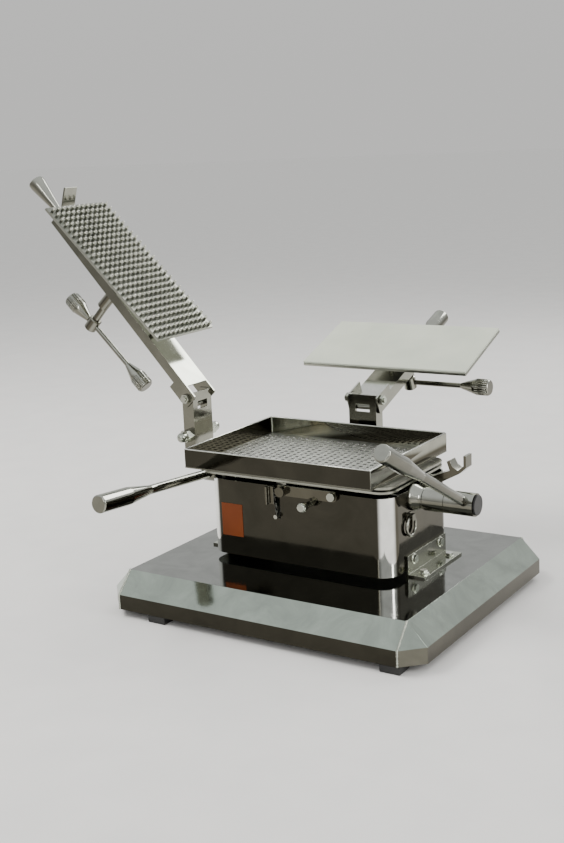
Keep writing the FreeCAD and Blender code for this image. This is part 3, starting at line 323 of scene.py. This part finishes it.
def add_object(name: str, mesh: bpy.types.Mesh) -> bpy.types.Object:
    """Put a mesh in the scene at the origin.

    Args:
        name: the object's name.
        mesh: its mesh, in the row frame.

    Returns:
        The new object.
    """
    piece = bpy.data.objects.new(name, mesh)
    bpy.context.scene.collection.objects.link(piece)
    return piece


def baked(piece: bpy.types.Object) -> bpy.types.Object:
    """Turn a piece's modifiers into its plain mesh.

    Args:
        piece: an object with live modifiers.

    Returns:
        The same object with no modifiers.
    """
    bpy.context.view_layer.update()
    graph = bpy.context.evaluated_depsgraph_get()
    mesh = bpy.data.meshes.new_from_object(piece.evaluated_get(graph))
    piece.modifiers.clear()
    piece.data = mesh
    return piece


@dataclass
class EasedPiece:
    """A CAD node remade with small rounded edges and clean smooth shading.

    Attributes:
        node: the CAD node it stands for.
        body: the body it rides on.
        edge: rounding of its edges, metres.
        material: its finish.
        look: the record's slot; not used.
        sharp: edges turned by more than this many degrees are rounded.
    """

    node: str
    body: str
    edge: float
    material: bpy.types.Material
    look: Look
    sharp: float = 40.0

    def build(self) -> bpy.types.Object:
        """Make the piece and hand it to the frame."""
        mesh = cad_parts[self.node].data.copy()
        shape = bmesh.new()
        shape.from_mesh(mesh)
        bmesh.ops.remove_doubles(shape, verts=shape.verts, dist=0.000002)
        bmesh.ops.dissolve_degenerate(shape, dist=0.000002, edges=shape.edges)
        bmesh.ops.dissolve_limit(shape, angle_limit=math.radians(0.4), verts=shape.verts, edges=shape.edges)
        for face in shape.faces:
            face.smooth = True
        shape.to_mesh(mesh)
        shape.free()
        normals = mesh.attributes.get("custom_normal")
        if normals:
            mesh.attributes.remove(normals)
        piece = add_object(f"{self.node}_eased", mesh)
        bevel = piece.modifiers.new("edges", "BEVEL")
        bevel.width = self.edge
        bevel.segments = 2
        bevel.limit_method = "ANGLE"
        bevel.angle_limit = math.radians(self.sharp)
        bevel.use_clamp_overlap = True
        weighted = piece.modifiers.new("shading", "WEIGHTED_NORMAL")
        weighted.weight = 100
        baked(piece)
        dress(piece, self.material)
        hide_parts(self.node)
        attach(piece, self.body)
        LOG.info("eased %s: %d faces", self.node, len(piece.data.polygons))
        return piece


# ---- Geometry node trees -------------------------------------------------------------------------

class Recipe:
    """A geometry node tree with named inputs; each run makes one plain mesh piece."""

    KINDS = {float: "NodeSocketFloat", int: "NodeSocketInt", tuple: "NodeSocketVector"}

    def __init__(self, name: str, defaults: dict[str, float | int | tuple]) -> None:
        """Open the tree and its inputs, then let the subclass draw it.

        Args:
            name: the tree's name.
            defaults: input name to default value; its type sets the socket's type.
        """
        self.tree = bpy.data.node_groups.new(name, "GeometryNodeTree")
        self.graph = Graph(self.tree)
        sockets = self.tree.interface
        sockets.new_socket("Geometry", in_out="INPUT", socket_type="NodeSocketGeometry")
        self.names = {}
        for label, value in defaults.items():
            item = sockets.new_socket(label, in_out="INPUT", socket_type=self.KINDS[type(value)])
            item.default_value = value
            self.names[label] = item.identifier
        item = sockets.new_socket("Material", in_out="INPUT", socket_type="NodeSocketMaterial")
        self.names["Material"] = item.identifier
        sockets.new_socket("Geometry", in_out="OUTPUT", socket_type="NodeSocketGeometry")
        self.given = self.graph.node("NodeGroupInput").outputs
        shape = self.draw()
        real = self.graph.node("GeometryNodeRealizeInstances", {0: shape})
        smooth = self.graph.node("GeometryNodeSetShadeSmooth", {0: real.outputs[0]})
        painted = self.graph.node("GeometryNodeSetMaterial", {"Geometry": smooth.outputs[0],
                                                              "Material": self.given["Material"]})
        self.graph.node("NodeGroupOutput", {0: painted.outputs[0]})

    def draw(self) -> bpy.types.NodeSocket:
        """Add the nodes that make the shape, and return its geometry socket."""
        raise NotImplementedError

    def math(self, operation: str, first: object, second: object = 0.0) -> bpy.types.NodeSocket:
        """One arithmetic node's result."""
        return self.graph.node("ShaderNodeMath", {0: first, 1: second}, operation=operation).outputs[0]

    def run(self, name: str, material: bpy.types.Material, place: Matrix,
            points: bpy.types.Mesh | None = None, **values: float | int | tuple) -> bpy.types.Object:
        """Make one piece.

        Args:
            name: the piece's name.
            material: its finish.
            place: where the tree's own frame stands in the row frame.
            points: a mesh for the tree to work on, if it reads one.
            values: input name, with _ for a space, to value.

        Returns:
            The piece, a plain mesh at the origin.
        """
        piece = add_object(name, points or bpy.data.meshes.new(name))
        modifier = piece.modifiers.new("recipe", "NODES")
        modifier.node_group = self.tree
        for label, value in values.items():
            modifier[self.names[label.replace("_", " ")]] = value
        modifier[self.names["Material"]] = material
        baked(piece)
        piece.data.transform(place)
        LOG.info("made %s: %d faces", name, len(piece.data.polygons))
        return piece


class PinGrid(Recipe):
    """A grid of round pins whose tips are turned to a low dome, pointing down."""

    def __init__(self) -> None:
        """Open the tree."""
        super().__init__("pin_grid", {"Columns": 25, "Rows": 12, "Pitch": 0.011, "Radius": 0.0025,
                                      "Length": 0.014, "Dome": 0.0016})

    def draw(self) -> bpy.types.NodeSocket:
        """A stem, a shoulder and a tip on every grid point."""
        graph, given = self.graph, self.given
        width = self.math("MULTIPLY", self.math("SUBTRACT", given["Columns"], 1.0), given["Pitch"])
        depth = self.math("MULTIPLY", self.math("SUBTRACT", given["Rows"], 1.0), given["Pitch"])
        grid = graph.node("GeometryNodeMeshGrid", {
            "Size X": width, "Size Y": depth, "Vertices X": given["Columns"], "Vertices Y": given["Rows"]})
        stem_long = self.math("SUBTRACT", given["Length"], given["Dome"])
        half_dome = self.math("MULTIPLY", given["Dome"], 0.5)
        wide, slim = (self.math("MULTIPLY", given["Radius"], part) for part in (0.84, 0.42))
        join = graph.node("GeometryNodeJoinGeometry")
        levels = ((slim, wide, half_dome, 0.0), (wide, given["Radius"], half_dome, 1.0),
                  (given["Radius"], given["Radius"], stem_long, 2.0))
        for low_radius, top_radius, tall, rise in levels:
            part = graph.node("GeometryNodeMeshCone", {"Vertices": 12, "Radius Top": top_radius,
                                                       "Radius Bottom": low_radius, "Depth": tall},
                              fill_type="NGON" if rise != 1.0 else "NONE")
            lift = graph.node("ShaderNodeCombineXYZ", {"Z": self.math("MULTIPLY", half_dome, rise)})
            moved = graph.node("GeometryNodeTransform", {"Geometry": part.outputs[0],
                                                         "Translation": lift.outputs[0]})
            self.tree.links.new(moved.outputs[0], join.inputs[0])
        whole = graph.node("GeometryNodeMergeByDistance", {"Geometry": join.outputs[0],
                                                           "Distance": 0.00001})
        spread = graph.node("GeometryNodeInstanceOnPoints", {"Points": grid.outputs[0],
                                                             "Instance": whole.outputs[0]})
        return spread.outputs[0]


class HoleRims(Recipe):
    """Rolled rims round a grid of holes."""

    def __init__(self) -> None:
        """Open the tree."""
        super().__init__("hole_rims", {"Columns": 26, "Rows": 19, "Pitch": 0.011, "Radius": 0.0033,
                                       "Wire": 0.0003})

    def draw(self) -> bpy.types.NodeSocket:
        """A thin ring on every grid point."""
        graph, given = self.graph, self.given
        width = self.math("MULTIPLY", self.math("SUBTRACT", given["Columns"], 1.0), given["Pitch"])
        depth = self.math("MULTIPLY", self.math("SUBTRACT", given["Rows"], 1.0), given["Pitch"])
        grid = graph.node("GeometryNodeMeshGrid", {
            "Size X": width, "Size Y": depth, "Vertices X": given["Columns"], "Vertices Y": given["Rows"]})
        path = graph.node("GeometryNodeCurvePrimitiveCircle", {"Resolution": 14, "Radius": given["Radius"]})
        profile = graph.node("GeometryNodeCurvePrimitiveCircle", {"Resolution": 4, "Radius": given["Wire"]})
        ring = graph.node("GeometryNodeCurveToMesh", {"Curve": path.outputs[0],
                                                      "Profile Curve": profile.outputs[0]})
        spread = graph.node("GeometryNodeInstanceOnPoints", {"Points": grid.outputs[0],
                                                             "Instance": ring.outputs[0]})
        return spread.outputs[0]


class WeldBead(Recipe):
    """A rippled weld bead along a straight line."""

    def __init__(self) -> None:
        """Open the tree."""
        super().__init__("weld_bead", {"Start": (0.0, 0.0, 0.0), "End": (0.0, 0.0, 0.03), "Count": 30,
                                       "Size": 0.0014, "Seed": 3})

    def draw(self) -> bpy.types.NodeSocket:
        """Uneven overlapping drops from Start to End."""
        graph, given = self.graph, self.given
        line = graph.node("GeometryNodeMeshLine", {"Count": given["Count"], "Start Location": given["Start"],
                                                   "Offset": given["End"]}, mode="END_POINTS")
        drop = graph.node("GeometryNodeMeshIcoSphere", {"Radius": given["Size"], "Subdivisions": 2})
        size = graph.node("FunctionNodeRandomValue", {2: 0.75, 3: 1.2, "Seed": given["Seed"]},
                          data_type="FLOAT")
        turn = graph.node("FunctionNodeRandomValue", {0: (0.0, 0.0, 0.0), 1: (3.0, 3.0, 3.0),
                                                      "Seed": given["Seed"]}, data_type="FLOAT_VECTOR")
        spread = graph.node("GeometryNodeInstanceOnPoints", {
            "Points": line.outputs[0], "Instance": drop.outputs[0], "Rotation": turn.outputs[0],
            "Scale": size.outputs[1]})
        return spread.outputs[0]


class GripFlutes(Recipe):
    """Fine ribs round a turned grip whose axis is Z."""

    def __init__(self) -> None:
        """Open the tree."""
        super().__init__("grip_flutes", {"Count": 24, "Radius": 0.0093, "Rib": 0.0006, "Length": 0.015})

    def draw(self) -> bpy.types.NodeSocket:
        """One slim rib on every point of a circle."""
        graph, given = self.graph, self.given
        circle = graph.node("GeometryNodeMeshCircle", {"Vertices": given["Count"],
                                                       "Radius": given["Radius"]})
        rib = graph.node("GeometryNodeMeshCylinder", {"Vertices": 6, "Radius": given["Rib"],
                                                      "Depth": given["Length"]})
        spread = graph.node("GeometryNodeInstanceOnPoints", {"Points": circle.outputs[0],
                                                             "Instance": rib.outputs[0]})
        return spread.outputs[0]


class Washers(Recipe):
    """A flat washer on every point of a mesh, standing on the point's normal."""

    def __init__(self) -> None:
        """Open the tree."""
        super().__init__("washers", {"Outer": 0.0072, "Inner": 0.0032, "Thick": 0.0009})

    def draw(self) -> bpy.types.NodeSocket:
        """A ring swept round a flat profile, turned to each normal."""
        graph, given = self.graph, self.given
        middle = self.math("MULTIPLY", self.math("ADD", given["Outer"], given["Inner"]), 0.5)
        path = graph.node("GeometryNodeCurvePrimitiveCircle", {"Resolution": 24, "Radius": middle})
        band = graph.node("GeometryNodeCurvePrimitiveQuadrilateral", {
            "Width": self.math("SUBTRACT", given["Outer"], given["Inner"]), "Height": given["Thick"]})
        ring = graph.node("GeometryNodeCurveToMesh", {"Curve": path.outputs[0],
                                                      "Profile Curve": band.outputs[0]})
        facing = graph.node("GeometryNodeInputNamedAttribute", {"Name": "facing"}, data_type="FLOAT_VECTOR")
        aim = graph.node("FunctionNodeAlignRotationToVector", {"Vector": facing.outputs[0]}, axis="Z")
        spread = graph.node("GeometryNodeInstanceOnPoints", {
            "Points": self.given["Geometry"], "Instance": ring.outputs[0], "Rotation": aim.outputs[0]})
        return spread.outputs[0]


class RimTube(Recipe):
    """A rolled bead along a rectangle."""

    def __init__(self) -> None:
        """Open the tree."""
        super().__init__("rim_tube", {"Width": 0.2966, "Depth": 0.2262, "Radius": 0.0013, "Corner": 0.002})

    def draw(self) -> bpy.types.NodeSocket:
        """A round profile swept along the rounded rectangle."""
        graph, given = self.graph, self.given
        path = graph.node("GeometryNodeCurvePrimitiveQuadrilateral", {"Width": given["Width"],
                                                                      "Height": given["Depth"]})
        eased = graph.node("GeometryNodeFilletCurve", {"Curve": path.outputs[0], "Radius": given["Corner"]})
        profile = graph.node("GeometryNodeCurvePrimitiveCircle", {"Resolution": 8,
                                                                  "Radius": given["Radius"]})
        tube = graph.node("GeometryNodeCurveToMesh", {"Curve": eased.outputs[0],
                                                      "Profile Curve": profile.outputs[0]})
        return tube.outputs[0]


# ---- Sub-assemblies ------------------------------------------------------------------------------

@dataclass
class Assembly:
    """A group of pieces that shares finishes and recipes.

    Attributes:
        finishes: every finish of the press.
    """

    finishes: Finishes

    def ease(self, body: str, look: Look, material: bpy.types.Material, edge: float, *nodes: str,
             sharp: float = 40.0) -> None:
        """Remake CAD nodes with rounded edges.

        Args:
            body: the body they ride on.
            look: the record's slot.
            material: their finish.
            edge: rounding, in metres.
            nodes: the CAD nodes.
            sharp: edges turned by more than this many degrees are rounded.
        """
        for node in nodes:
            EasedPiece(node, body, edge, material, look, sharp).build()

    def keep(self, material: bpy.types.Material, *nodes: str) -> None:
        """Dress CAD nodes whose shape stays."""
        for node in nodes:
            dress(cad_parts[node], material)

    def add(self, piece: bpy.types.Object, body: str, look: Look, *replaced: str) -> bpy.types.Object:
        """Hand a made piece to the frame.

        Args:
            piece: the piece.
            body: the body it rides on.
            look: the record's slot; not used.
            replaced: CAD nodes that it stands for.

        Returns:
            The piece.
        """
        if replaced:
            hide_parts(*replaced)
        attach(piece, body)
        return piece

    def build(self) -> None:
        """Make and dress every piece."""
        raise NotImplementedError


@dataclass
class SlopedBase(Assembly):
    """The sheet plinth on its feet, the welds of its cut corners, brackets and their bolts."""

    half_x: float = 215.0
    half_y: float = 180.5
    run: float = 27.3
    top: float = 59.5
    knee: float = 31.0
    skirt: float = 11.5
    bead: float = 0.0014

    def build(self) -> None:
        """Make and dress every piece."""
        shop = self.finishes
        self.ease("frame", Look.POLISHED, shop.base, 0.0009, "base_plinth", sharp=16.0)
        self.ease("frame", Look.FOOT, shop.foot, 0.0022, "base_feet")
        self.ease("frame", Look.POLISHED, shop.bracket, 0.0007, "right_bracket", "left_bracket")
        self.ease("frame", Look.BRIGHT, shop.fastener, 0.0005, "frame_bolts")
        weld = WeldBead()
        for name, i, j in (("front_right", 1, -1), ("front_left", -1, -1),
                           ("back_right", 1, 1), ("back_left", -1, 1)):
            crown = work(i * self.half_x, j * self.half_y, self.top - 0.6)
            shoulder = work(i * self.half_x, j * (self.half_y + self.run), self.knee)
            foot = work(i * self.half_x, j * (self.half_y + self.run), self.skirt)
            for part, start, end, count in (("slope", crown, shoulder, 46), ("skirt", shoulder, foot, 24)):
                piece = weld.run(f"{name}_{part}_weld", shop.weld, Matrix.Identity(4),
                                 Start=tuple(start), End=tuple(end), Count=count, Size=self.bead)
                self.add(piece, "frame", Look.POLISHED)
        self.washers()

    def washers(self) -> None:
        """Flat washers under the bracket and post bolts."""
        left, right, back, sheet, flange = -145.0, 143.4, 96.4, 3.0, 16.74
        side_bolt_high, post_bolt_high = 80, 146
        sites = []
        for y in (-22, 57):
            sites += [((right + sheet, y, side_bolt_high), (1, 0, 0)),
                      ((left - sheet, y, side_bolt_high), (-1, 0, 0)),
                      ((right + flange, y, self.top + sheet), (0, 0, 1)),
                      ((left - flange, y, self.top + sheet), (0, 0, 1))]
        for y in (14, 32):
            sites.append(((left - sheet, y, post_bolt_high), (-1, 0, 0)))
        for x in (-30, -6):
            sites.append(((x, back + sheet, post_bolt_high), (0, 1, 0)))
        thick = 0.0008
        mesh = bpy.data.meshes.new("washer_sites")
        mesh.from_pydata([work(*at) + Vector(way) * thick / 2 for at, way in sites], [], [])
        facing = mesh.attributes.new("facing", "FLOAT_VECTOR", "POINT")
        for spot, (_, way) in zip(facing.data, sites):
            spot.vector = way
        piece = Washers().run("frame_washers", self.finishes.fastener, Matrix.Identity(4), points=mesh,
                              Thick=thick)
        self.add(piece, "frame", Look.BRIGHT)


@dataclass
class HousingBox(Assembly):
    """The rounded housing with its floor, label, latch, stop screw, ring, staple and hook."""

    def build(self) -> None:
        """Make and dress every piece."""
        shop = self.finishes
        self.ease("frame", Look.POLISHED, shop.housing, 0.0004, "housing")
        self.ease("frame", Look.SATIN, shop.plate, 0.0003, "housing_floor")
        self.ease("frame", Look.LABEL, shop.label, 0.0002, "front_label")
        self.ease("frame", Look.POLISHED, shop.fitting, 0.0003, "latch_keeper", "ring_staple")
        self.ease("frame", Look.BRIGHT, shop.fastener, 0.0005, "latch_pivot", "hook_pivot")
        self.ease("latch", Look.POLISHED, shop.fitting, 0.0006, "front_latch")
        self.ease("stop", Look.BRIGHT, shop.fastener, 0.0004, "stop_screw")
        self.ease("ring", Look.POLISHED, shop.turned, 0.0002, "pull_ring")
        self.ease("hook", Look.POLISHED, shop.fitting, 0.0007, "catch_hook")
        facing_front = Matrix.Translation(work(23, -100.6, 157)) @ Matrix.Rotation(math.pi / 2, 4, "X")
        flutes = GripFlutes().run("stop_screw_knurl", shop.fastener, facing_front, Count=22, Radius=0.0059,
                                  Rib=0.0005, Length=0.009)
        self.add(flutes, "stop", Look.BRIGHT)


@dataclass
class Bed(Assembly):
    """Fixed plates, sliding clamp plate, lift plate and its pins, pillars and screws."""

    def build(self) -> None:
        """Make and dress every piece."""
        shop = self.finishes
        self.keep(shop.plate, "lower_bed_plate", "top_bed_plate", "clamp_plate", "lift_plate")
        self.keep(shop.pin, "lift_pins")
        self.ease("frame", Look.BRIGHT, shop.turned, 0.0003, "bed_pillars")
        self.ease("frame", Look.BRIGHT, shop.fastener, 0.0002, "bed_screws")


@dataclass
class PowderTray(Assembly):
    """The powder tray with its perforated floor, rolled rim and corner welds.

    Attributes:
        left: outer left face, mm, and so on round the tray.
        floor_top: height of the floor.
        rim: height of the rim.
        wall: wall thickness.
    """

    left: float = -171.7
    right: float = 124.9
    front: float = -97.0
    back: float = 129.2
    floor_top: float = 192.0
    rim: float = 217.0
    wall: float = 1.6
    rim_radius: float = 0.0011

    def build(self) -> None:
        """Make and dress every piece."""
        shop = self.finishes
        self.ease("frame", Look.POLISHED, shop.tray, 0.0004, "powder_tray_walls")
        self.keep(shop.tray_floor, "powder_tray_floor")
        centre = work((self.left + self.right) / 2, (self.front + self.back) / 2, self.rim)
        half = self.wall / 2
        tube = RimTube().run("tray_rim_bead", shop.rim, Matrix.Translation(centre),
                             Width=(self.right - self.left - 2 * half) * MM,
                             Depth=(self.back - self.front - 2 * half) * MM, Radius=self.rim_radius)
        self.add(tube, "frame", Look.POLISHED)
        rims = HoleRims().run("tray_hole_rims", shop.rim,
                              Matrix.Translation(work(-25.5, 11.5, self.floor_top)),
                              Columns=26, Rows=19, Pitch=HOLE_PITCH, Radius=0.0034, Wire=0.00028)
        self.add(rims, "frame", Look.POLISHED)
        weld = WeldBead()
        inset = self.wall + 0.4
        for name, x, y in (("back_left", self.left + inset, self.back - inset),
                           ("back_right", self.right - inset, self.back - inset),
                           ("front_left", self.left + inset, self.front + inset),
                           ("front_right", self.right - inset, self.front + inset)):
            foot, crown = work(x, y, self.floor_top + 1), work(x, y, self.rim - 1)
            piece = weld.run(f"tray_{name}_weld", shop.weld, Matrix.Identity(4), Start=tuple(foot),
                             End=tuple(crown), Count=30, Size=0.0010, Seed=11)
            self.add(piece, "frame", Look.POLISHED)


def tommy_flutes(assembly: Assembly, name: str, body: str, hub: Vector, way: Vector) -> None:
    """Ribs on both grips of a tommy bar.

    Args:
        assembly: the arm that the bar belongs to.
        name: first word of the pieces' names.
        body: the body the bar rides on.
        hub: middle of the bar's hole in the screw head, in the row frame.
        way: unit vector toward the bar's short end.
    """
    recipe = GripFlutes()
    for end, side, reach in (("short", way, 0.058), ("long", -way, 0.137)):
        spot = hub + side * (reach - 0.0125)
        place = Matrix.Translation(spot) @ side.to_track_quat("Z", "Y").to_matrix().to_4x4()
        piece = recipe.run(f"{name}_{end}_grip_flutes", assembly.finishes.turned, place, Count=22,
                           Radius=0.0119, Rib=0.0010, Length=0.0190)
        assembly.add(piece, body, Look.BRIGHT)


@dataclass
class PinArm(Assembly):
    """The arm with the pin plate, drawn along its own axis and stood open.

    Attributes:
        hinge: the hinge axis, mm from the middle of the base.
        opened: degrees up from closed.
        middle: distance from the hinge to the middle of the plate, mm.
        plate_face: the plate's working face, mm from the hinge axis.
        pin_long: how far the pins stand out, mm.
        seat: how far the pins sink into the plate, mm.
        head_middle: middle of the screw head, mm from the hinge axis.
    """

    hinge: tuple[float, float, float] = (-230.0, 17.5, 268.0)
    opened: float = 136.2
    middle: float = 210.0
    plate_face: float = -60.0
    pin_long: float = 9.0
    seat: float = 0.2
    head_middle: float = 61.7

    def frame(self) -> Matrix:
        """The arm's own frame, X along the arm and Z away from the pins, in the row frame."""
        return Matrix.Translation(work(*self.hinge)) @ Matrix.Rotation(-math.radians(self.opened), 4, "Y")

    def build(self) -> None:
        """Make and dress every piece."""
        shop = self.finishes
        self.ease("pin_arm", Look.POLISHED, shop.arm, 0.0007, "pin_arm_channel", "pin_arm_tongue")
        self.ease("pin_arm", Look.BRIGHT, shop.turned, 0.0007, "pin_arm_grip")
        self.ease("pin_arm", Look.BRIGHT, shop.dark_turned, 0.0007, "pin_arm_boss")
        self.ease("pin_press", Look.SATIN, shop.plate, 0.0005, "pin_plate")
        self.ease("pin_press", Look.BRIGHT, shop.dark_turned, 0.0005, "pin_guide_rods")
        self.ease("pin_screw_body", Look.BRIGHT, shop.dark_turned, 0.0005, "pin_screw")
        self.ease("pin_tommy", Look.BRIGHT, shop.turned, 0.0006, "pin_tommy_bar")
        frame = self.frame()
        tip = Vector((self.middle, -0.5, self.plate_face - self.pin_long + self.seat)) * MM
        pins = PinGrid().run("domed_pins", shop.pin, frame @ Matrix.Translation(tip), Columns=COLUMNS,
                             Rows=ROWS, Pitch=HOLE_PITCH, Radius=0.0022, Length=self.pin_long * MM,
                             Dome=0.0018)
        self.add(pins, "pin_press", Look.BRIGHT, "pressing_pins")
        hub = frame @ (Vector((self.middle, 0.0, self.head_middle)) * MM)
        tommy_flutes(self, "pin_tommy", "pin_tommy", hub, frame.to_3x3() @ Vector((1, 0, 0)))


@dataclass
class SealArm(Assembly):
    """The arm with the rubber-faced sealing plate, lying back open.

    Attributes:
        hinge: the hinge axis, mm from the middle of the base.
        opened: degrees above level.
        middle: distance from the hinge to the press screw, mm.
        head_middle: middle of the screw head, mm below the hinge axis.
    """

    hinge: tuple[float, float, float] = (-18.0, 153.5, 251.5)
    opened: float = 20.0
    middle: float = 136.5
    head_middle: float = 51.5

    def build(self) -> None:
        """Make and dress every piece."""
        shop = self.finishes
        self.ease("seal_arm", Look.POLISHED, shop.arm, 0.0007, "seal_arm_channel")
        self.ease("seal_arm", Look.BRIGHT, shop.turned, 0.0007, "seal_arm_grip", "seal_arm_boss")
        self.ease("seal_press", Look.SATIN, shop.plate, 0.0006, "seal_plate")
        self.ease("seal_press", Look.PAD, shop.pad, 0.0012, "seal_rubber_pad")
        self.ease("seal_press", Look.BRIGHT, shop.turned, 0.0005, "seal_guide_rods")
        self.ease("seal_screw_body", Look.BRIGHT, shop.turned, 0.0005, "seal_screw")
        self.ease("seal_tommy", Look.BRIGHT, shop.turned, 0.0006, "seal_tommy_bar")
        along = Matrix.Rotation(math.radians(self.opened), 3, "X")
        hub = work(*self.hinge) + along @ (Vector((0.0, self.middle, -self.head_middle)) * MM)
        tommy_flutes(self, "seal_tommy", "seal_tommy", hub, Vector((-1, 0, 0)))


@dataclass
class Posts(Assembly):
    """Both channel posts with brackets, hinge pins, stop rollers and the cross bolt."""

    def build(self) -> None:
        """Make and dress every piece."""
        shop = self.finishes
        self.ease("frame", Look.POLISHED, shop.arm, 0.0006, "left_post", "back_post")
        self.ease("frame", Look.POLISHED, shop.bracket, 0.0005, "left_post_bracket", "back_post_bracket")
        self.ease("frame", Look.BRIGHT, shop.fastener, 0.0005, "left_hinge_pin", "back_hinge_pin",
                  "left_cross_bolt")
        self.ease("frame", Look.BRIGHT, shop.turned, 0.0003, "stop_rollers")


@dataclass
class Levers(Assembly):
    """Shafts, bearings, hubs, rods and turned grips of both side levers."""

    def build(self) -> None:
        """Make and dress every piece."""
        shop = self.finishes
        self.ease("frame", Look.POLISHED, shop.turned, 0.0005, "left_bearing", "right_bearing")
        self.ease("left_lever_set", Look.POLISHED, shop.turned, 0.0006, "left_lever", "left_grip")
        self.ease("left_lever_set", Look.BRIGHT, shop.turned, 0.0003, "left_shaft")
        self.ease("right_lever_set", Look.POLISHED, shop.turned, 0.0006, "right_sleeve", "right_lever",
                  "right_grip")
        self.ease("right_lever_set", Look.BRIGHT, shop.turned, 0.0003, "right_shaft")
        self.ease("right_lever_set", Look.CAP, shop.cap, 0.0006, "right_sleeve_cap")


# ---- Studio --------------------------------------------------------------------------------------

@dataclass(frozen=True)
class Softbox:
    """One rectangular studio light.

    Attributes:
        name: its name.
        at: where it hangs, metres from the middle of the base.
        aim: the point it looks at.
        wide: width and height, metres.
        power: watts.
        mirrored: whether polished steel shows it.
    """

    name: str
    at: tuple[float, float, float]
    aim: tuple[float, float, float]
    wide: tuple[float, float]
    power: float
    mirrored: bool = True

    def hang(self) -> None:
        """Add the light."""
        lamp = bpy.data.lights.new(self.name, "AREA")
        lamp.shape = "RECTANGLE"
        lamp.size, lamp.size_y = self.wide
        lamp.energy = self.power
        lamp.color = (1.0, 0.985, 0.96)
        holder = bpy.data.objects.new(self.name, lamp)
        bpy.context.scene.collection.objects.link(holder)
        holder.visible_glossy = self.mirrored
        holder.location = BENCH_CENTRE + Vector(self.at)
        toward = BENCH_CENTRE + Vector(self.aim) - holder.location
        holder.rotation_euler = toward.to_track_quat("-Z", "Y").to_euler()


@dataclass
class Studio:
    """Floor, room light, softboxes and camera."""

    camera_at: tuple[float, float, float] = (0.8913, -1.4793, 0.6411)
    right: tuple[float, float, float] = (0.8270, 0.5600, -0.0500)
    up: tuple[float, float, float] = (-0.0670, 0.1866, 0.9801)
    lens: float = 54.3
    shift: tuple[float, float] = (0.0455, -0.0400)
    floor_half: float = 30.0
    boxes: tuple[Softbox, ...] = field(default_factory=lambda: (
        Softbox("key_box", (-1.5, -0.6, 2.2), (-0.05, 0.0, 0.2), (1.5, 1.1), 55.0, False),
        Softbox("side_strip", (1.7, -0.1, 0.75), (0.1, 0.0, 0.25), (0.28, 1.2), 13.0),
        Softbox("front_strip", (0.1, -2.2, 1.2), (0.0, 0.0, 0.15), (0.30, 1.2), 9.0),
        Softbox("back_box", (0.4, 2.0, 1.7), (0.0, 0.1, 0.3), (1.8, 0.7), 26.0)))

    def build(self) -> None:
        """Set the whole studio up."""
        self.floor()
        self.room()
        for box in self.boxes:
            box.hang()
        self.camera()

    def floor(self) -> None:
        """A plain pale floor under the feet."""
        half = self.floor_half
        mesh = bpy.data.meshes.new("studio_floor")
        mesh.from_pydata([(-half, -half, 0), (half, -half, 0), (half, half, 0), (-half, half, 0)], [],
                         [(0, 1, 2, 3)])
        ground = add_object("studio_floor", mesh)
        dress(ground, MouldedFinish("pale_floor", (0.80, 0.79, 0.77), (0.77, 0.762, 0.745), 0.75,
                                    grain=300.0, relief=0.03, specular=0.2).build())

    def room(self) -> None:
        """Soft even light, darker at eye level than overhead."""
        world = bpy.data.worlds.new("studio_room")
        world.use_nodes = True
        graph = Graph(world.node_tree)
        way = graph.node("ShaderNodeTexCoord")
        split = graph.node("ShaderNodeSeparateXYZ", {"Vector": way.outputs["Generated"]})
        rise = graph.node("ShaderNodeMapRange", {"Value": split.outputs["Z"], "From Min": 0.05,
                                                 "From Max": 0.75})
        tone = graph.node("ShaderNodeMix", {0: rise.outputs[0], 6: rgba((0.72, 0.715, 0.70)),
                                            7: rgba((0.92, 0.93, 0.93))}, data_type="RGBA")
        sky = graph.node("ShaderNodeBackground", {"Color": tone.outputs[2], "Strength": 0.92})
        graph.node("ShaderNodeOutputWorld", {"Surface": sky.outputs[0]})
        bpy.context.scene.world = world

    def camera(self) -> None:
        """The camera at the viewing angle, framed on the press."""
        lens = bpy.data.cameras.new("camera")
        lens.lens = self.lens
        lens.shift_x, lens.shift_y = self.shift
        holder = bpy.data.objects.new("camera", lens)
        bpy.context.scene.collection.objects.link(holder)
        right = Vector(self.right).normalized()
        up = (Vector(self.up) - right * Vector(self.up).dot(right)).normalized()
        back = right.cross(up)
        pose = Matrix((right, up, back)).transposed().to_4x4()
        pose.translation = BENCH_CENTRE + Vector(self.camera_at)
        holder.matrix_world = pose
        bpy.context.scene.camera = holder


def main() -> None:
    """Build the studio and every sub-assembly."""
    logging.basicConfig(level=logging.INFO, format="%(name)s: %(message)s")
    Studio().build()
    finishes = Finishes()
    for assembly in (SlopedBase, HousingBox, Bed, PowderTray, PinArm, SealArm, Posts, Levers):
        assembly(finishes).build()
        LOG.info("finished %s", assembly.__name__)


if __name__ == "__main__":
    main()
